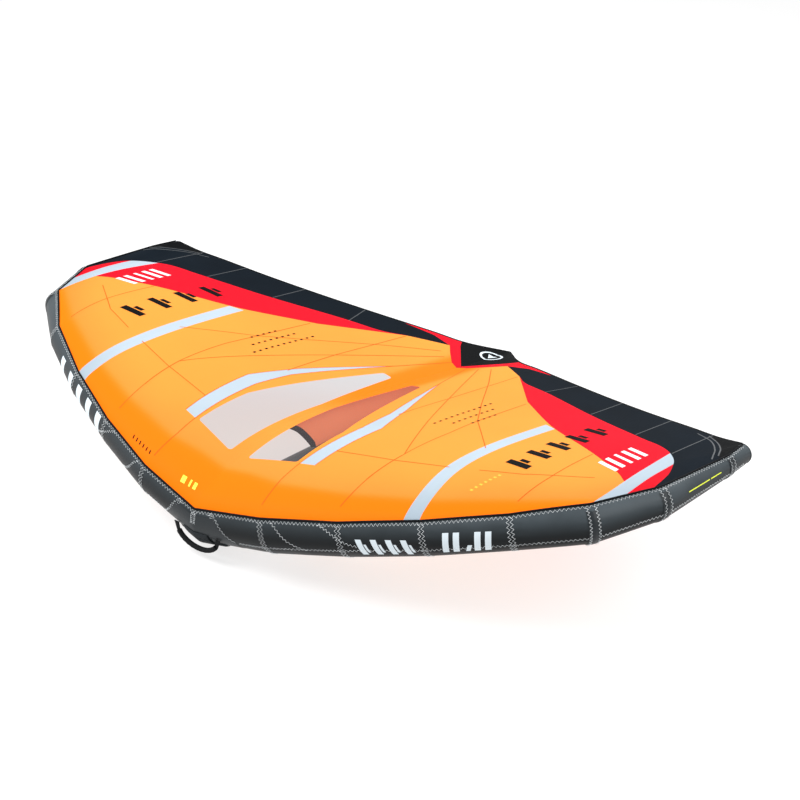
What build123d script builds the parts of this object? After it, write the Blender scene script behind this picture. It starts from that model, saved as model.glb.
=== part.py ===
from build123d import *
import math
import os

# Inflatable hand-held wing. Millimetres. X runs along the span, Y from the leading edge to the
# trailing edge, Z up. The shapes are laid out from the middle of the canopy's front seam, and
# are moved at the end so that the row's origin is the middle of the rear handle's grip.

# ---- Leading edge tube and canopy: one row per station, from the middle to the right tip ----
# seam x, y, z | tube radius | clock angle of the seam | clock angle where the canopy leaves the tube
STATIONS = [
    (0, 0, 0, 115, 28, 60),
    (160, 18, 32, 114, 30, 60),
    (288, 33, 58, 112, 32, 60),
    (574, 112, 120, 103, 37, 63),
    (850, 215, 190, 91, 47, 65),
    (1112, 347, 260, 83, 57, 70),
    (1310, 515, 304, 75, 80, 84),
    (1420, 765, 309, 62, 84, 86),
    (1446, 1170, 284, 47, 68, 86),
    (1437, 1262, 280, 42, 84, 86),
]
# trailing edge x, y, z | front reach and rear reach of the rib's curve | rear slope in degrees
TRAILING = [
    (0, 1873, 0, 420, 1050, 6.8),
    (150, 1737, 44, 380, 920, 6.8),
    (270, 1686, 70, 360, 860, 6.8),
    (530, 1581, 118, 330, 800, 7.0),
    (780, 1489, 162, 270, 700, 7.0),
    (1000, 1414, 202, 220, 580, 7.5),
    (1200, 1356, 237, 150, 430, 8.0),
    (1330, 1325, 255, 120, 280, 7.0),
    (1420, 1308, 273, 30, 60, 4.0),
    (1428, 1306, 275, 8, 12, 3.0),
]
TUBE_STATIONS = [0, 2, 3, 4, 5, 6, 7, 8]
TUBE_PANELS = [(0, 1), (1, 2), (2, 3), (3, 4), (4, 5), (5, 6), (6, 8)]
SEAM_TURN = {4: 45}
GUARD_WIDTH = 40
TUBE_END = (1430, 1300, 237)
TUBE_END_RADIUS = 39
CLOTH = 2.0
SLEEVE_WALL = 2.4
BLADDER_WALL = 0.8
BLADDER_GAP = 2.0
REST = 0.6

# ---- Strut, fin and handles: y, z and radius along the strut's middle ----
STRUT_ROWS = [(205, -50, 56), (850, -50, 56), (1250, -30, 48), (1640, -10, 36)]
FIN_FRONT = [(488, 136), (527, 109), (560, 76), (589, 42), (612, 12)]
FIN_HEM_WIDTH = 26
FIN_THICK = 2.0
FIN_END_Y = 1560
HANDLE_DROP = 75
GRIP_RADIUS = 15
STRAP_WIDTH = 40
STRAP_THICK = 4.0
PATCH_THICK = 2.5
FRONT_HANDLE = (510, 170)
REAR_HANDLE = (1015, 230)
HINGE_GAP = 0.5

# ---- Loop handle on the middle of the leading edge ----
LOOP_HALF_WIDTH = 104
LOOP_DROP = 68
LOOP_RADIUS = 10
LOOP_HINGE = (9, -99)
LOOP_TAB_WIDTH = 22
LOOP_TAB_DROP = 31
LOOP_ROLL = 2.5

# ---- Valve ----
VALVE_X = -200
VALVE_CLOCK = 210
VALVE_BORE_RADIUS = 11
VALVE_NECK_RADIUS = 18
VALVE_INSERT_RADIUS = 14.95
VALVE_SEAT_RADIUS = 15
VALVE_FACE = 3.6
VALVE_LIP_TOP = 6.6
VALVE_INSERT_END = -10.0

# ---- One-pump hose between the leading edge and the strut ----
HOSE_X = 100
HOSE_Z = -50
HOSE_RADIUS = 6.5
HOSE_START_Y = 246
HOSE_END_Y = 352


def unit(v):
    length = math.sqrt(sum(c * c for c in v))
    return tuple(c / length for c in v)


def add(a, b, k=1.0):
    return tuple(p + k * q for p, q in zip(a, b))


def cross(a, b):
    return (a[1] * b[2] - a[2] * b[1], a[2] * b[0] - a[0] * b[2], a[0] * b[1] - a[1] * b[0])


def station_frame(i):
    """Direction along the tube, inward and up at a station; the middle one lies square to X."""
    here = STATIONS[i][:3]
    after = unit(add(STATIONS[min(i + 1, 9)][:3], here, -1)) if i < 9 else None
    before = unit(add(here, STATIONS[i - 1][:3], -1)) if i > 0 else None
    along = (1.0, 0.0, 0.0) if i == 0 else unit(add(before, after or before))
    inward = unit((-along[1], along[0], 0.0))
    return along, inward, cross(along, inward)


def tube_centre(i):
    x, y, z, r, seam, _ = STATIONS[i]
    _, inward, up = station_frame(i)
    c = math.radians(seam)
    return add(add((x, y, z), inward, r * math.cos(c)), up, -r * math.sin(c))


def tube_plane(i):
    """Plane square to the tube at a station, local X inward and local Y up."""
    along, inward, _ = station_frame(i)
    return Plane(origin=tube_centre(i), x_dir=inward, z_dir=along)


def tube_sections():
    """(plane, radius) from the middle to the right tip."""
    rows = [(tube_plane(i), STATIONS[i][3]) for i in TUBE_STATIONS]
    along, inward, _ = station_frame(9)
    rows.append((Plane(origin=TUBE_END, x_dir=inward, z_dir=along), TUBE_END_RADIUS))
    return rows


def disc(plane, radius):
    return Face(Wire(Edge.make_circle(radius, plane)))


def turned(plane, angle):
    """The same plane, with its own axes turned about its normal."""
    a = math.radians(angle)
    x_dir = plane.x_dir * math.cos(a) + plane.y_dir * math.sin(a)
    return Plane(origin=plane.origin, x_dir=x_dir, z_dir=plane.z_dir)


def tube_solid(first, last, grow=0.0, turn=0):
    """Solid tube from section first to section last, with its radius grown by grow.

    turn is the angle from the tube's inner side to its lengthwise seam.
    """
    faces = [disc(turned(p, turn), r + grow) for p, r in tube_sections()[first : last + 1]]
    return loft(faces, ruled=True)


def tube_shell(first, last, outer, inner, turn=0):
    return tube_solid(first, last, outer, turn) - tube_solid(first, last, inner, turn)


def between(first, share):
    """Plane and radius part of the way along the tube's run after section first."""
    (p, r), (q, s) = tube_sections()[first], tube_sections()[first + 1]
    a, b = tuple(p.origin), tuple(q.origin)
    origin = add(a, add(b, a, -1), share)
    along = unit(add(b, a, -1))
    inward = unit((-along[1], along[0], 0.0))
    if share == 0 and first == 0:
        along, inward = (1.0, 0.0, 0.0), (0.0, 1.0, 0.0)
    return Plane(origin=origin, x_dir=inward, z_dir=along), r + (s - r) * share


def sector(plane, inner, outer, low, high):
    """Flat piece of a ring between two clock angles, measured from the front up and over."""

    def at(radius, clock):
        c = math.radians(clock)
        return plane.from_local_coords(Vector(-radius * math.cos(c), radius * math.sin(c), 0))

    middle = (low + high) / 2
    return Face(
        Wire(
            [
                Edge.make_three_point_arc(at(outer, low), at(outer, middle), at(outer, high)),
                Edge.make_line(at(outer, high), at(inner, high)),
                Edge.make_three_point_arc(at(inner, high), at(inner, middle), at(inner, low)),
                Edge.make_line(at(inner, low), at(outer, low)),
            ]
        )
    )


def saddle(first, start, end, inner, outer, low, high):
    """Curved patch lying on one run of the tube; low and high are (start, end) clock angles."""
    faces = []
    for share, lo, hi in ((start, low[0], high[0]), (end, low[1], high[1])):
        plane, radius = between(first, share)
        faces.append(sector(plane, radius + inner, radius + outer, lo, hi))
    return loft(faces, ruled=True)


def both_sides(shape):
    return Compound(children=[*shape.solids(), *mirror(shape, about=Plane.YZ).solids()])


def joined_across(shape):
    """One piece made of a right half and its mirror image, which meet at X = 0."""
    return shape + mirror(shape, about=Plane.YZ)


# ---- Canopy ----
def rib_points(i, lift):
    """Wrap points on the tube and the curve's four control points, in the rib's own plane."""
    x, y, z, r, seam, leave = STATIONS[i]
    tx, ty, tz, front, rear, slope = TRAILING[i]
    along, inward, _ = station_frame(i)
    ahead = unit((tx - x, ty - y, 0.0))
    level = unit((along[0], along[1], 0.0))
    k = abs(sum(a * b for a, b in zip(ahead, inward)))
    climb = sum(a * b for a, b in zip(ahead, level)) * along[2] / math.hypot(along[0], along[1])
    radius = r + REST

    def wrap(clock):
        c, s = math.radians(clock), math.radians(seam)
        h = radius * (math.cos(s) - math.cos(c)) / k
        up = z + radius * (math.sin(c) - math.sin(s)) + REST + h * climb + lift
        return (x + h * ahead[0], y + h * ahead[1], up)

    c = math.radians(leave)
    run, rise = math.sin(c) / k, math.cos(c) + climb * math.sin(c) / k
    tangent = unit((run * ahead[0], run * ahead[1], rise))
    start = wrap(leave)
    end = (tx, ty, tz + lift)
    s = math.radians(slope)
    back = (-ahead[0] * math.cos(s), -ahead[1] * math.cos(s), math.sin(s))
    control = [start, add(start, tangent, front), add(end, back, rear), end]
    return [wrap(seam), wrap((seam + leave) / 2), start], control


def rib_face(i):
    """Section of the canopy cloth at one station."""
    low_arc, low = rib_points(i, 0.0)
    top_arc, top = rib_points(i, CLOTH)
    return Face(
        Wire(
            [
                Edge.make_three_point_arc(*top_arc),
                Edge.make_bezier(*top),
                Edge.make_line(top[3], low[3]),
                Edge.make_bezier(*reversed(low)),
                Edge.make_three_point_arc(*reversed(low_arc)),
                Edge.make_line(low_arc[0], top_arc[0]),
            ]
        )
    )


def canopy_half():
    whole = loft([rib_face(i) for i in range(len(STATIONS))], ruled=True)
    return whole - tube_solid(0, 8, 0.3) - dome(tube_sections()[-1][0], TUBE_END_RADIUS + 0.4, 24.4)


def middle_height(y, lift=0.0):
    """Height of the canopy's underside on the middle line."""
    _, p = rib_points(0, lift)
    lo, hi = 0.0, 1.0
    for _ in range(40):
        t = (lo + hi) / 2
        w = ((1 - t) ** 3, 3 * t * (1 - t) ** 2, 3 * t * t * (1 - t), t**3)
        if sum(a * b[1] for a, b in zip(w, p)) < y:
            lo = t
        else:
            hi = t
    return sum(a * b[2] for a, b in zip(w, p))


def prism(points):
    """Tall upright block over a plan outline, which cuts a panel out of the canopy."""
    outline = Face(Wire.make_polygon([(x, y, -300) for x, y in points], close=True))
    return Solid.extrude(outline, Vector(0, 0, 900))


def rounded_prism(points, radius):
    outline = Face(Wire.make_polygon([(x, y, -300) for x, y in points], close=True))
    outline = outline.fillet_2d(radius, outline.vertices())
    return Solid.extrude(outline, Vector(0, 0, 900))


FAR = 2100
WINDOW = [(44, 222), (246, 264), (240, 515), (96, 1142), (52, 1142), (28, 700)]
WINDOW_CORNER = 13
FLANK_OUTER = [(324, 274), (330, 400), (338, 618), (271, 840), (117, 1242)]
FLANK_INNER = [(250, 767), (269, 591), (262, 262)]
CENTRE_SEAM = [
    (278, -60), (260, 170), (262, 262), (269, 591), (250, 767), (182, 994), (117, 1242), (41, 1517),
]
OUTER_STRIPE_INNER = [(800, 160), (778, 290), (755, 481), (754, 700), (769, 1036)]
OUTER_STRIPE_OUTER = [(826, 1010), (811, 700), (811, 481), (833, 290), (857, 160)]
TIP_STRIPE_INNER = [(1310, 440), (1316, 632), (1306, 852), (1288, 1054)]
TIP_STRIPE_OUTER = [(1340, 1040), (1357, 960), (1363, 760), (1370, 520)]
RED_FRONT = [(293, 1530), (542, 1238), (790, 1037), (1003, 904), (1234, 775), (1316, 712)]
BAND_FRONT = [
    (152, 1642),
    (293, 1530),
    (380, 1455),
    (546, 1386),
    (885, 1222),
    (1114, 1123),
    (1219, 1087),
    (1281, 1051),
    (1340, 985),
    (1384, 890),
    (1400, 820),
    (1411, 740),
]
TRIM = [(0, 1496), (41, 1516), (105, 1585), (152, 1642), (250, 1655), (380, 1626)]
TE_PATCH = [(0, 1526), (127, 1684), (150, 1722)]
TIP_PATCH = [(1291, 1315), (1353, 1259), (1401, 1196), (1432, 1127)]
HEM_WIDTH = 13


def hem_line(inset):
    return [(row[0], row[1] - inset) for row in TRAILING]


def canopy_panels():
    """Right-hand panels by name, each cut from what the earlier ones left."""
    rest = canopy_half()
    cuts = [
        ("te_hem", [*hem_line(HEM_WIDTH), (1500, 1290), (1500, FAR), (0, FAR)]),
        ("te_patch", [*TE_PATCH, (150, FAR), (0, FAR)]),
        ("te_patch_trim", [*TRIM, (380, FAR), (0, FAR)]),
        ("tip_patches", [*TIP_PATCH, (1520, 1120), (1520, FAR), (1291, FAR)]),
        ("te_band", [*BAND_FRONT, (1520, 740), (1520, FAR), (152, FAR)]),
        ("outer_stripes", OUTER_STRIPE_INNER + OUTER_STRIPE_OUTER),
        ("tip_stripes", TIP_STRIPE_INNER + TIP_STRIPE_OUTER),
        ("flank_stripes", FLANK_OUTER + FLANK_INNER),
        ("red_tip_corners", [(1355, 400), (1355, FAR), (1520, FAR), (1520, 400)]),
        ("red_panel", [*RED_FRONT, (1330, 712), (1330, FAR), (293, FAR)]),
        ("centre_panel", [*CENTRE_SEAM, (0, FAR), (0, -60)]),
        ("inner_panel", [(0, -60), (826, -60), (826, 200), (782, 500), (785, FAR), (0, FAR)]),
        ("outer_panel", [(760, -60), (1355, -60), (1355, FAR), (760, FAR)]),
    ]
    panels = {}
    window = rounded_prism(WINDOW, WINDOW_CORNER)
    panels["window"] = rest & window
    rest = rest - window
    for name, outline in cuts:
        block = prism(outline)
        panels[name] = rest & block
        rest = rest - block
    return panels


# ---- Leading edge ----
def fan(plane, start, stop, reach):
    """Block around the tube between two clock angles, reaching to both sides of the plane."""
    corners = [Vector(0, 0, -reach)]
    for k in range(5):
        c = math.radians(start + (stop - start) * k / 4)
        corners.append(Vector(-400 * math.cos(c), 400 * math.sin(c), -reach))
    outline = Wire.make_polygon([plane.from_local_coords(c) for c in corners], close=True)
    return Solid.extrude(Face(outline), plane.z_dir * 2 * reach)


def seam_guards():
    """Scuff bands over the three outer tube seams, on the side that the canopy leaves bare."""
    sections = tube_sections()
    rows = [(sections[5][0], 4, 6, 58), (sections[6][0], 5, 7, 62), (sections[7][0], 6, 8, 50)]
    solids = []
    for plane, first, last, top in rows:
        shell = tube_shell(first, last, 1.7, 0.5)
        slab = Solid.extrude(disc(plane.offset(-GUARD_WIDTH / 2), 150), plane.z_dir * GUARD_WIDTH)
        solids += both_sides((shell & slab) - fan(plane, top, 210, 60)).solids()
    return Compound(children=solids)


def centre_patch():
    """Reinforcement over the middle of the tube's front, wider at the bottom."""
    half = tube_shell(0, 1, 1.4, 0.4) - fan(tube_plane(0), 14, 264, 400)
    side = [(66, 60), (66, 0), (162, -120), (162, -300), (400, -300), (400, 60)]
    edge = Wire.make_polygon([(x, -200, z) for x, z in side], close=True)
    outside = Solid.extrude(Face(edge), Vector(0, 500, 0))
    return joined_across(half - outside)


def loop_pad():
    """Padding behind the loop handle, open around the handle's two tabs."""
    half = saddle(0, 0.0, 0.36, -4.0, 7.0, (-76, -64), (-20, -28)) - tube_solid(0, 1, 1.6)
    pocket = saddle(0, 0.2, 0.4, -8.0, 24.0, (-50, -50), (-8, -8))
    return joined_across(half - pocket)


def piping():
    """Round cord in the seam between the tube and the canopy's front edge."""
    radius, clearance = 4.0, 0.8
    faces = []
    for i in (0, 2, 3, 4, 5, 6, 7, 8, 9):
        plane = tube_plane(i)
        reach = STATIONS[i][3] + radius + clearance
        clock = math.radians(STATIONS[i][4] - math.degrees((radius + 1.4) / STATIONS[i][3]))
        spot = Vector(-reach * math.cos(clock), reach * math.sin(clock), 0)
        at = plane.from_local_coords(spot)
        faces.append(disc(Plane(origin=at, x_dir=plane.x_dir, z_dir=plane.z_dir), radius))
    cord = loft(faces, ruled=True) - tube_solid(0, 8, 0.1)
    return cord - loft([rib_face(i) for i in range(len(STATIONS))], ruled=True)


def dome(plane, radius, height):
    """Shallow domed cap with a flat back on the plane."""
    ball = (radius**2 + height**2) / (2 * height)
    cap = Pos(0, 0, height - ball) * Sphere(ball) & Pos(0, 0, height) * Box(200, 200, 2 * height)
    return plane.location * Pos(0, 0, 0.3) * cap


def tip_cap():
    """Sewn dome that closes the tube at the tip."""
    return dome(tube_sections()[-1][0], TUBE_END_RADIUS, 24)


def bladder():
    outer = tube_solid(0, 8, -SLEEVE_WALL - BLADDER_GAP)
    inner = tube_solid(0, 8, -SLEEVE_WALL - BLADDER_GAP - BLADDER_WALL)
    return joined_across(outer - inner)


# ---- Strut, fin and handles ----
def strut_solid(grow=0.0, start=0, rows=STRUT_ROWS):
    faces = []
    for y, z, r in rows[start:]:
        plane = Plane(origin=(0, y, z), x_dir=(1, 0, 0), z_dir=(0, 1, 0))
        faces.append(disc(plane, r + grow))
    return loft(faces, ruled=True)


def strut_at(y):
    """Height of the strut's middle and its radius."""
    for (y0, z0, r0), (y1, z1, r1) in zip(STRUT_ROWS, STRUT_ROWS[1:]):
        if y <= y1:
            k = (y - y0) / (y1 - y0)
            return z0 + k * (z1 - z0), r0 + k * (r1 - r0)
    return STRUT_ROWS[-1][1:]


def leading_edge_block(grow):
    return joined_across(tube_solid(0, 1, grow))


def strut_sleeve():
    shell = strut_solid() - strut_solid(-SLEEVE_WALL)
    return shell - leading_edge_block(0.5)


def strut_bladder():
    outer = strut_solid(-SLEEVE_WALL - BLADDER_GAP)
    inner = strut_solid(-SLEEVE_WALL - BLADDER_GAP - BLADDER_WALL)
    return outer - inner - leading_edge_block(4.0)


def strut_end_patch():
    """Cap sewn over the strut's rear end."""
    y, z, r = STRUT_ROWS[-1]
    front_z, front_r = strut_at(y - 70)
    rows = [(y - 70, front_z, front_r), (y, z, r)]
    collar = strut_solid(1.6, 0, rows) - strut_solid(0.5, 0, rows)
    end = dome(Plane(origin=(0, y, z), x_dir=(1, 0, 0), z_dir=(0, 1, 0)), r + 1.6, 20)
    return Compound(children=[*collar.solids(), *end.solids()])


def fin_parts():
    """Cloth web between the strut and the canopy, and the dark hem on its front edge."""
    start, stop = FIN_FRONT[0], FIN_FRONT[-1]
    heights = [(0, y, middle_height(y) - 1.0) for y in (start[0], 640, 800, 1000, 1200, 1400, FIN_END_Y)]
    low = [(0, y, sum(strut_at(y)) + 1.0) for y in (FIN_END_Y, 1250, 850, stop[0])]
    front = [(0, y, z) for y, z in reversed(FIN_FRONT[1:-1])]
    outline = [
        Edge.make_spline(heights),
        Edge.make_line(heights[-1], low[0]),
        *[Edge.make_line(a, b) for a, b in zip(low, low[1:])],
        Edge.make_spline([low[-1], *front, heights[0]]),
    ]
    side = Solid.extrude(Face(Wire(outline)), Vector(FIN_THICK / 2, 0, 0))
    whole = side + mirror(side, about=Plane.YZ)
    rear = [(-5, y + FIN_HEM_WIDTH * 0.95, z + FIN_HEM_WIDTH * 0.3) for y, z in FIN_FRONT]
    rear = [(-5, start[0] + 20, 300), *rear, (-5, stop[0] + 27, -60)]
    block = Wire.make_polygon([*rear, (-5, FAR, -60), (-5, FAR, 300)], close=True)
    behind = Solid.extrude(Face(block), Vector(10, 0, 0))
    return whole & behind, whole - behind


def handle_hinge(centre_y, length):
    """Height of the handle's hinge line, just under the lower of its base patches."""
    z, r = strut_at(centre_y - length / 2 - STRAP_WIDTH / 2)
    return z - r - PATCH_THICK - REST - HINGE_GAP - STRAP_THICK / 2


def row_origin():
    return (0, REAR_HANDLE[0], handle_hinge(*REAR_HANDLE) - HANDLE_DROP)


def handle_patches(centre_y, length):
    """Two curved patches on the strut's underside, one over each end of the handle."""
    pieces = []
    for side in (-1, 1):
        y0 = centre_y + side * (length / 2 - 5) - 45
        faces = []
        for y in (y0, y0 + 90):
            z, r = strut_at(y)
            plane = Plane(origin=(0, y, z), x_dir=(1, 0, 0), z_dir=(0, -1, 0))
            faces.append(sector(plane, r + REST, r + REST + PATCH_THICK, -130, -50))
        pieces += loft(faces, ruled=True).solids()
    return pieces


def handle_strap(centre_y, length):
    """Webbing riser at each end, from a rolled edge on the hinge line down to the grip."""
    top = handle_hinge(centre_y, length)
    low = top - HANDLE_DROP
    pieces = []
    for side in (-1, 1):
        y = centre_y + side * (length / 2 - 5)
        toe = centre_y + side * (length / 2 - 22)
        roll = Plane(origin=(0, y - STRAP_WIDTH / 2, top), x_dir=(1, 0, 0), z_dir=(0, 1, 0))
        edge = Solid.extrude(disc(roll, STRAP_THICK / 2), Vector(0, STRAP_WIDTH, 0))
        corners = [
            (-STRAP_THICK / 2, y - STRAP_WIDTH / 2, top),
            (-STRAP_THICK / 2, y + STRAP_WIDTH / 2, top),
            (-STRAP_THICK / 2, toe + 9, low + GRIP_RADIUS + 0.3),
            (-STRAP_THICK / 2, toe - 9, low + GRIP_RADIUS + 0.3),
        ]
        web = Solid.extrude(Face(Wire.make_polygon(corners, close=True)), Vector(STRAP_THICK, 0, 0))
        pieces += (edge + web).solids()
    return Compound(children=pieces)


def handle_grip(centre_y, length):
    """Foam grip with domed ends."""
    low = handle_hinge(centre_y, length) - HANDLE_DROP
    plane = Plane(origin=(0, centre_y - length / 2, low), x_dir=(1, 0, 0), z_dir=(0, 1, 0))
    grip = Solid.extrude(disc(plane, GRIP_RADIUS), Vector(0, length, 0))
    return fillet(grip.edges().filter_by(GeomType.CIRCLE), 9)


def loop_handle():
    """Padded tube in a half oval, hung from two flat tabs with rolled ends."""
    y, z = LOOP_HINGE
    turn = math.degrees(math.asin((LOOP_TAB_DROP - 3) / LOOP_DROP))
    path = Edge.make_ellipse(
        LOOP_HALF_WIDTH,
        LOOP_DROP,
        plane=Plane(origin=(0, y, z), x_dir=(1, 0, 0), z_dir=(0, -1, 0)),
        start_angle=180 + turn,
        end_angle=360 - turn,
    )
    loop = Solid.sweep(disc(Plane(origin=path @ 0, z_dir=path % 0), LOOP_RADIUS), path)
    for side in (-1, 1):
        half = LOOP_TAB_WIDTH / 2
        low_x = (path @ 0).X * -side
        corners = [
            (side * LOOP_HALF_WIDTH - half, y - LOOP_ROLL, z),
            (side * LOOP_HALF_WIDTH + half, y - LOOP_ROLL, z),
            (low_x + LOOP_RADIUS - 1, y - LOOP_ROLL, z - LOOP_TAB_DROP),
            (low_x - LOOP_RADIUS + 1, y - LOOP_ROLL, z - LOOP_TAB_DROP),
        ]
        tab = Solid.extrude(Face(Wire.make_polygon(corners, close=True)), Vector(0, 2 * LOOP_ROLL, 0))
        end = Plane(origin=(side * LOOP_HALF_WIDTH - half, y, z), x_dir=(0, 1, 0), z_dir=(1, 0, 0))
        roll = Solid.extrude(disc(end, LOOP_ROLL), Vector(LOOP_TAB_WIDTH, 0, 0))
        loop = loop + tab + roll
    return loop


# ---- Valve ----
def valve_plane():
    """Plane on the tube's lower rear, left of the middle, local Z out of the tube."""
    share = abs(VALVE_X) / abs(tube_sections()[1][0].origin.X)
    plane, radius = between(0, share)
    c = math.radians(VALVE_CLOCK)
    out = plane.x_dir * -math.cos(c) + plane.y_dir * math.sin(c)
    origin = plane.origin + out * radius
    right = Plane(origin=origin, x_dir=plane.z_dir, z_dir=out)
    mirrored = [Vector(-v.X, v.Y, v.Z) for v in (right.origin, right.x_dir, right.z_dir)]
    return Plane(origin=mirrored[0], x_dir=mirrored[1], z_dir=mirrored[2])


def on_valve(shape):
    return valve_plane().location * shape


def ring(outer, inner, low, high):
    return Pos(0, 0, (low + high) / 2) * (Cylinder(outer, high - low) - Cylinder(inner, high - low))


def valve_base():
    """Neck, outer rim and inner flange, with two posts that hold the lid's pin."""
    neck = ring(VALVE_NECK_RADIUS, VALVE_SEAT_RADIUS, -16, VALVE_FACE)
    rim = ring(23, VALVE_NECK_RADIUS, 0.6, VALVE_FACE)
    flange = ring(28, VALVE_NECK_RADIUS, -10.5, -9)
    body = neck + rim + flange + Pos(0, -26, 2.1) * Box(14, 12, 3)
    for side in (-1, 1):
        body = body + Pos(side * 5.7, -29.5, 5.5) * Box(2.6, 5, 9)
    pin_hole = Pos(0, -29.5, 7.9) * Rot(0, 90, 0) * Cylinder(0.95, 20)
    return on_valve(body - pin_hole)


def valve_insert():
    """Turning insert with the air bore and two finger tabs."""
    body = ring(VALVE_INSERT_RADIUS, VALVE_BORE_RADIUS, VALVE_INSERT_END, VALVE_FACE + 0.4)
    lip = ring(19.5, VALVE_BORE_RADIUS, VALVE_FACE + 0.4, VALVE_LIP_TOP)
    tabs = Pos(20.5, 0, 5.3) * Box(5, 9, 2.6) + Pos(-20.5, 0, 5.3) * Box(5, 9, 2.6)
    return on_valve(body + lip + tabs)


def valve_flap():
    """One-way flap under the insert, with the roll that it hinges on."""
    plate = Pos(0, 0, VALVE_INSERT_END - 1.4) * Cylinder(12.5, 1.2)
    roll = Pos(0, -12.9, VALVE_INSERT_END - 1.4) * Rot(0, 90, 0) * Cylinder(0.8, 8)
    return on_valve(plate + roll)


def valve_cap():
    """Lid on its strap, with the pin that it hinges on."""
    lid = Pos(0, 0, VALVE_LIP_TOP + 1.8) * Cylinder(13.5, 3.0)
    strap = Pos(0, -20.5, 7.9) * Box(7.6, 18, 2)
    roll = Pos(0, -29.5, 7.9) * Rot(0, 90, 0) * Cylinder(1.6, 7.6)
    pin = Pos(0, -29.5, 7.9) * Rot(0, 90, 0) * Cylinder(0.9, 14)
    pull = Pos(0, 15, 8.4) * Box(8, 8, 2)
    return on_valve(lid + strap + roll + pin + pull)


def valve_opening():
    return on_valve(Cylinder(VALVE_NECK_RADIUS + 0.3, 60))


# ---- One-pump hose ----
def hose():
    plane = Plane(origin=(HOSE_X, HOSE_START_Y, HOSE_Z), x_dir=(1, 0, 0), z_dir=(0, 1, 0))
    run = HOSE_END_Y - HOSE_START_Y
    bore = Solid.extrude(disc(plane, 4.5), Vector(0, run, 0))
    return Solid.extrude(disc(plane, HOSE_RADIUS), Vector(0, run, 0)) - bore


def hose_elbows():
    """Barbed ports: a straight one on the leading edge and an elbow on the strut."""

    def along_y(radius, start, end):
        plane = Plane(origin=(HOSE_X, start, HOSE_Z), x_dir=(1, 0, 0), z_dir=(0, 1, 0))
        return Solid.extrude(disc(plane, radius), Vector(0, end - start, 0))

    def along_x(radius, start, end, y):
        plane = Plane(origin=(start, y, HOSE_Z), x_dir=(0, 1, 0), z_dir=(1, 0, 0))
        return Solid.extrude(disc(plane, radius), Vector(end - start, 0, 0))

    front = along_y(4.5, 215, HOSE_START_Y + 22) + along_y(9, HOSE_START_Y - 9, HOSE_START_Y)
    front = front + along_y(18, 215, 234)
    front = front - joined_across(tube_solid(0, 1, 0.4)).solids()[0]
    turn_y = HOSE_END_Y + 14
    rear = along_y(4.5, HOSE_END_Y - 22, turn_y + 6.5) + along_x(6.5, 60, HOSE_X, turn_y)
    rear = rear + along_y(8, HOSE_END_Y, turn_y + 6.5) + along_x(18, 50, 60, turn_y)
    rear = rear - strut_solid(0.4)
    return Compound(children=[*front.solids(), *rear.solids()])


CLIP_Y = (HOSE_START_Y + HOSE_END_Y) / 2
CLIP_LENGTH = 26


def clip_base():
    """Open channel that sits under the hose."""
    block = Pos(HOSE_X, CLIP_Y, HOSE_Z) * Box(20, CLIP_LENGTH, 20)
    bore = Pos(HOSE_X, CLIP_Y, HOSE_Z) * Rot(90, 0, 0) * Cylinder(HOSE_RADIUS + 0.3, CLIP_LENGTH + 2)
    mouth = Pos(HOSE_X, CLIP_Y, HOSE_Z + 8) * Box(2 * HOSE_RADIUS + 0.6, CLIP_LENGTH + 2, 16)
    posts = [Pos(HOSE_X - 8.4, CLIP_Y + s * 10.5, HOSE_Z + 13) * Box(3.2, 5, 7) for s in (-1, 1)]
    solid = block - bore - mouth
    for post in posts:
        solid = solid + post
    pin_hole = Pos(HOSE_X - 8.4, CLIP_Y, HOSE_Z + 14) * Rot(90, 0, 0) * Cylinder(1.05, CLIP_LENGTH + 4)
    return solid - pin_hole


def clip_lever():
    """Lever that snaps down over the hose, on a pin between the base's posts."""
    barrel = Pos(HOSE_X - 8.4, CLIP_Y, HOSE_Z + 14) * Rot(90, 0, 0) * Cylinder(2.6, 15)
    pin = Pos(HOSE_X - 8.4, CLIP_Y, HOSE_Z + 14) * Rot(90, 0, 0) * Cylinder(1.0, 26)
    arm = Pos(HOSE_X + 3, CLIP_Y, HOSE_Z + 14.4) * Box(22, 15, 3.2)
    return barrel + pin + arm


# ---- Leash loop ----
LEASH_Y = 300
LEASH_WIDTH = 30
LEASH_DROP = 34
LEASH_CORD = 2.2


def leash_hinge():
    z, r = strut_at(LEASH_Y)
    return z - r - REST - 1.2 - HINGE_GAP - LEASH_CORD


def leash_patch():
    z, r = strut_at(LEASH_Y)
    faces = []
    for y in (LEASH_Y - 30, LEASH_Y + 30):
        plane = Plane(origin=(0, y, z), x_dir=(1, 0, 0), z_dir=(0, -1, 0))
        faces.append(sector(plane, r + REST, r + REST + 1.2, -120, -60))
    return loft(faces, ruled=True).solids()


def leash_loop():
    """Cord loop that hangs from the strut's front, with its top bar as the hinge."""
    half, low = LEASH_WIDTH / 2, -LEASH_DROP
    corners = [(-half, 0, 0), (half, 0, 0), (half * 0.75, 0, low), (-half * 0.75, 0, low)]
    path = Wire.make_polygon(corners, close=True)
    path = path.fillet_2d(6, path.vertices())
    start = Plane(origin=path @ 0, z_dir=path % 0)
    cord = Solid.sweep(disc(start, LEASH_CORD), path)
    return cord.moved(Location((0, LEASH_Y, leash_hinge())))


def write(name, shape):
    moved = shape.moved(Location(tuple(-c for c in row_origin())))
    solids = moved.solids()
    result = solids[0] if len(solids) == 1 else Compound(children=list(solids))
    result.label = name
    export_step(result, f"parts/{name}.step")


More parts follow.
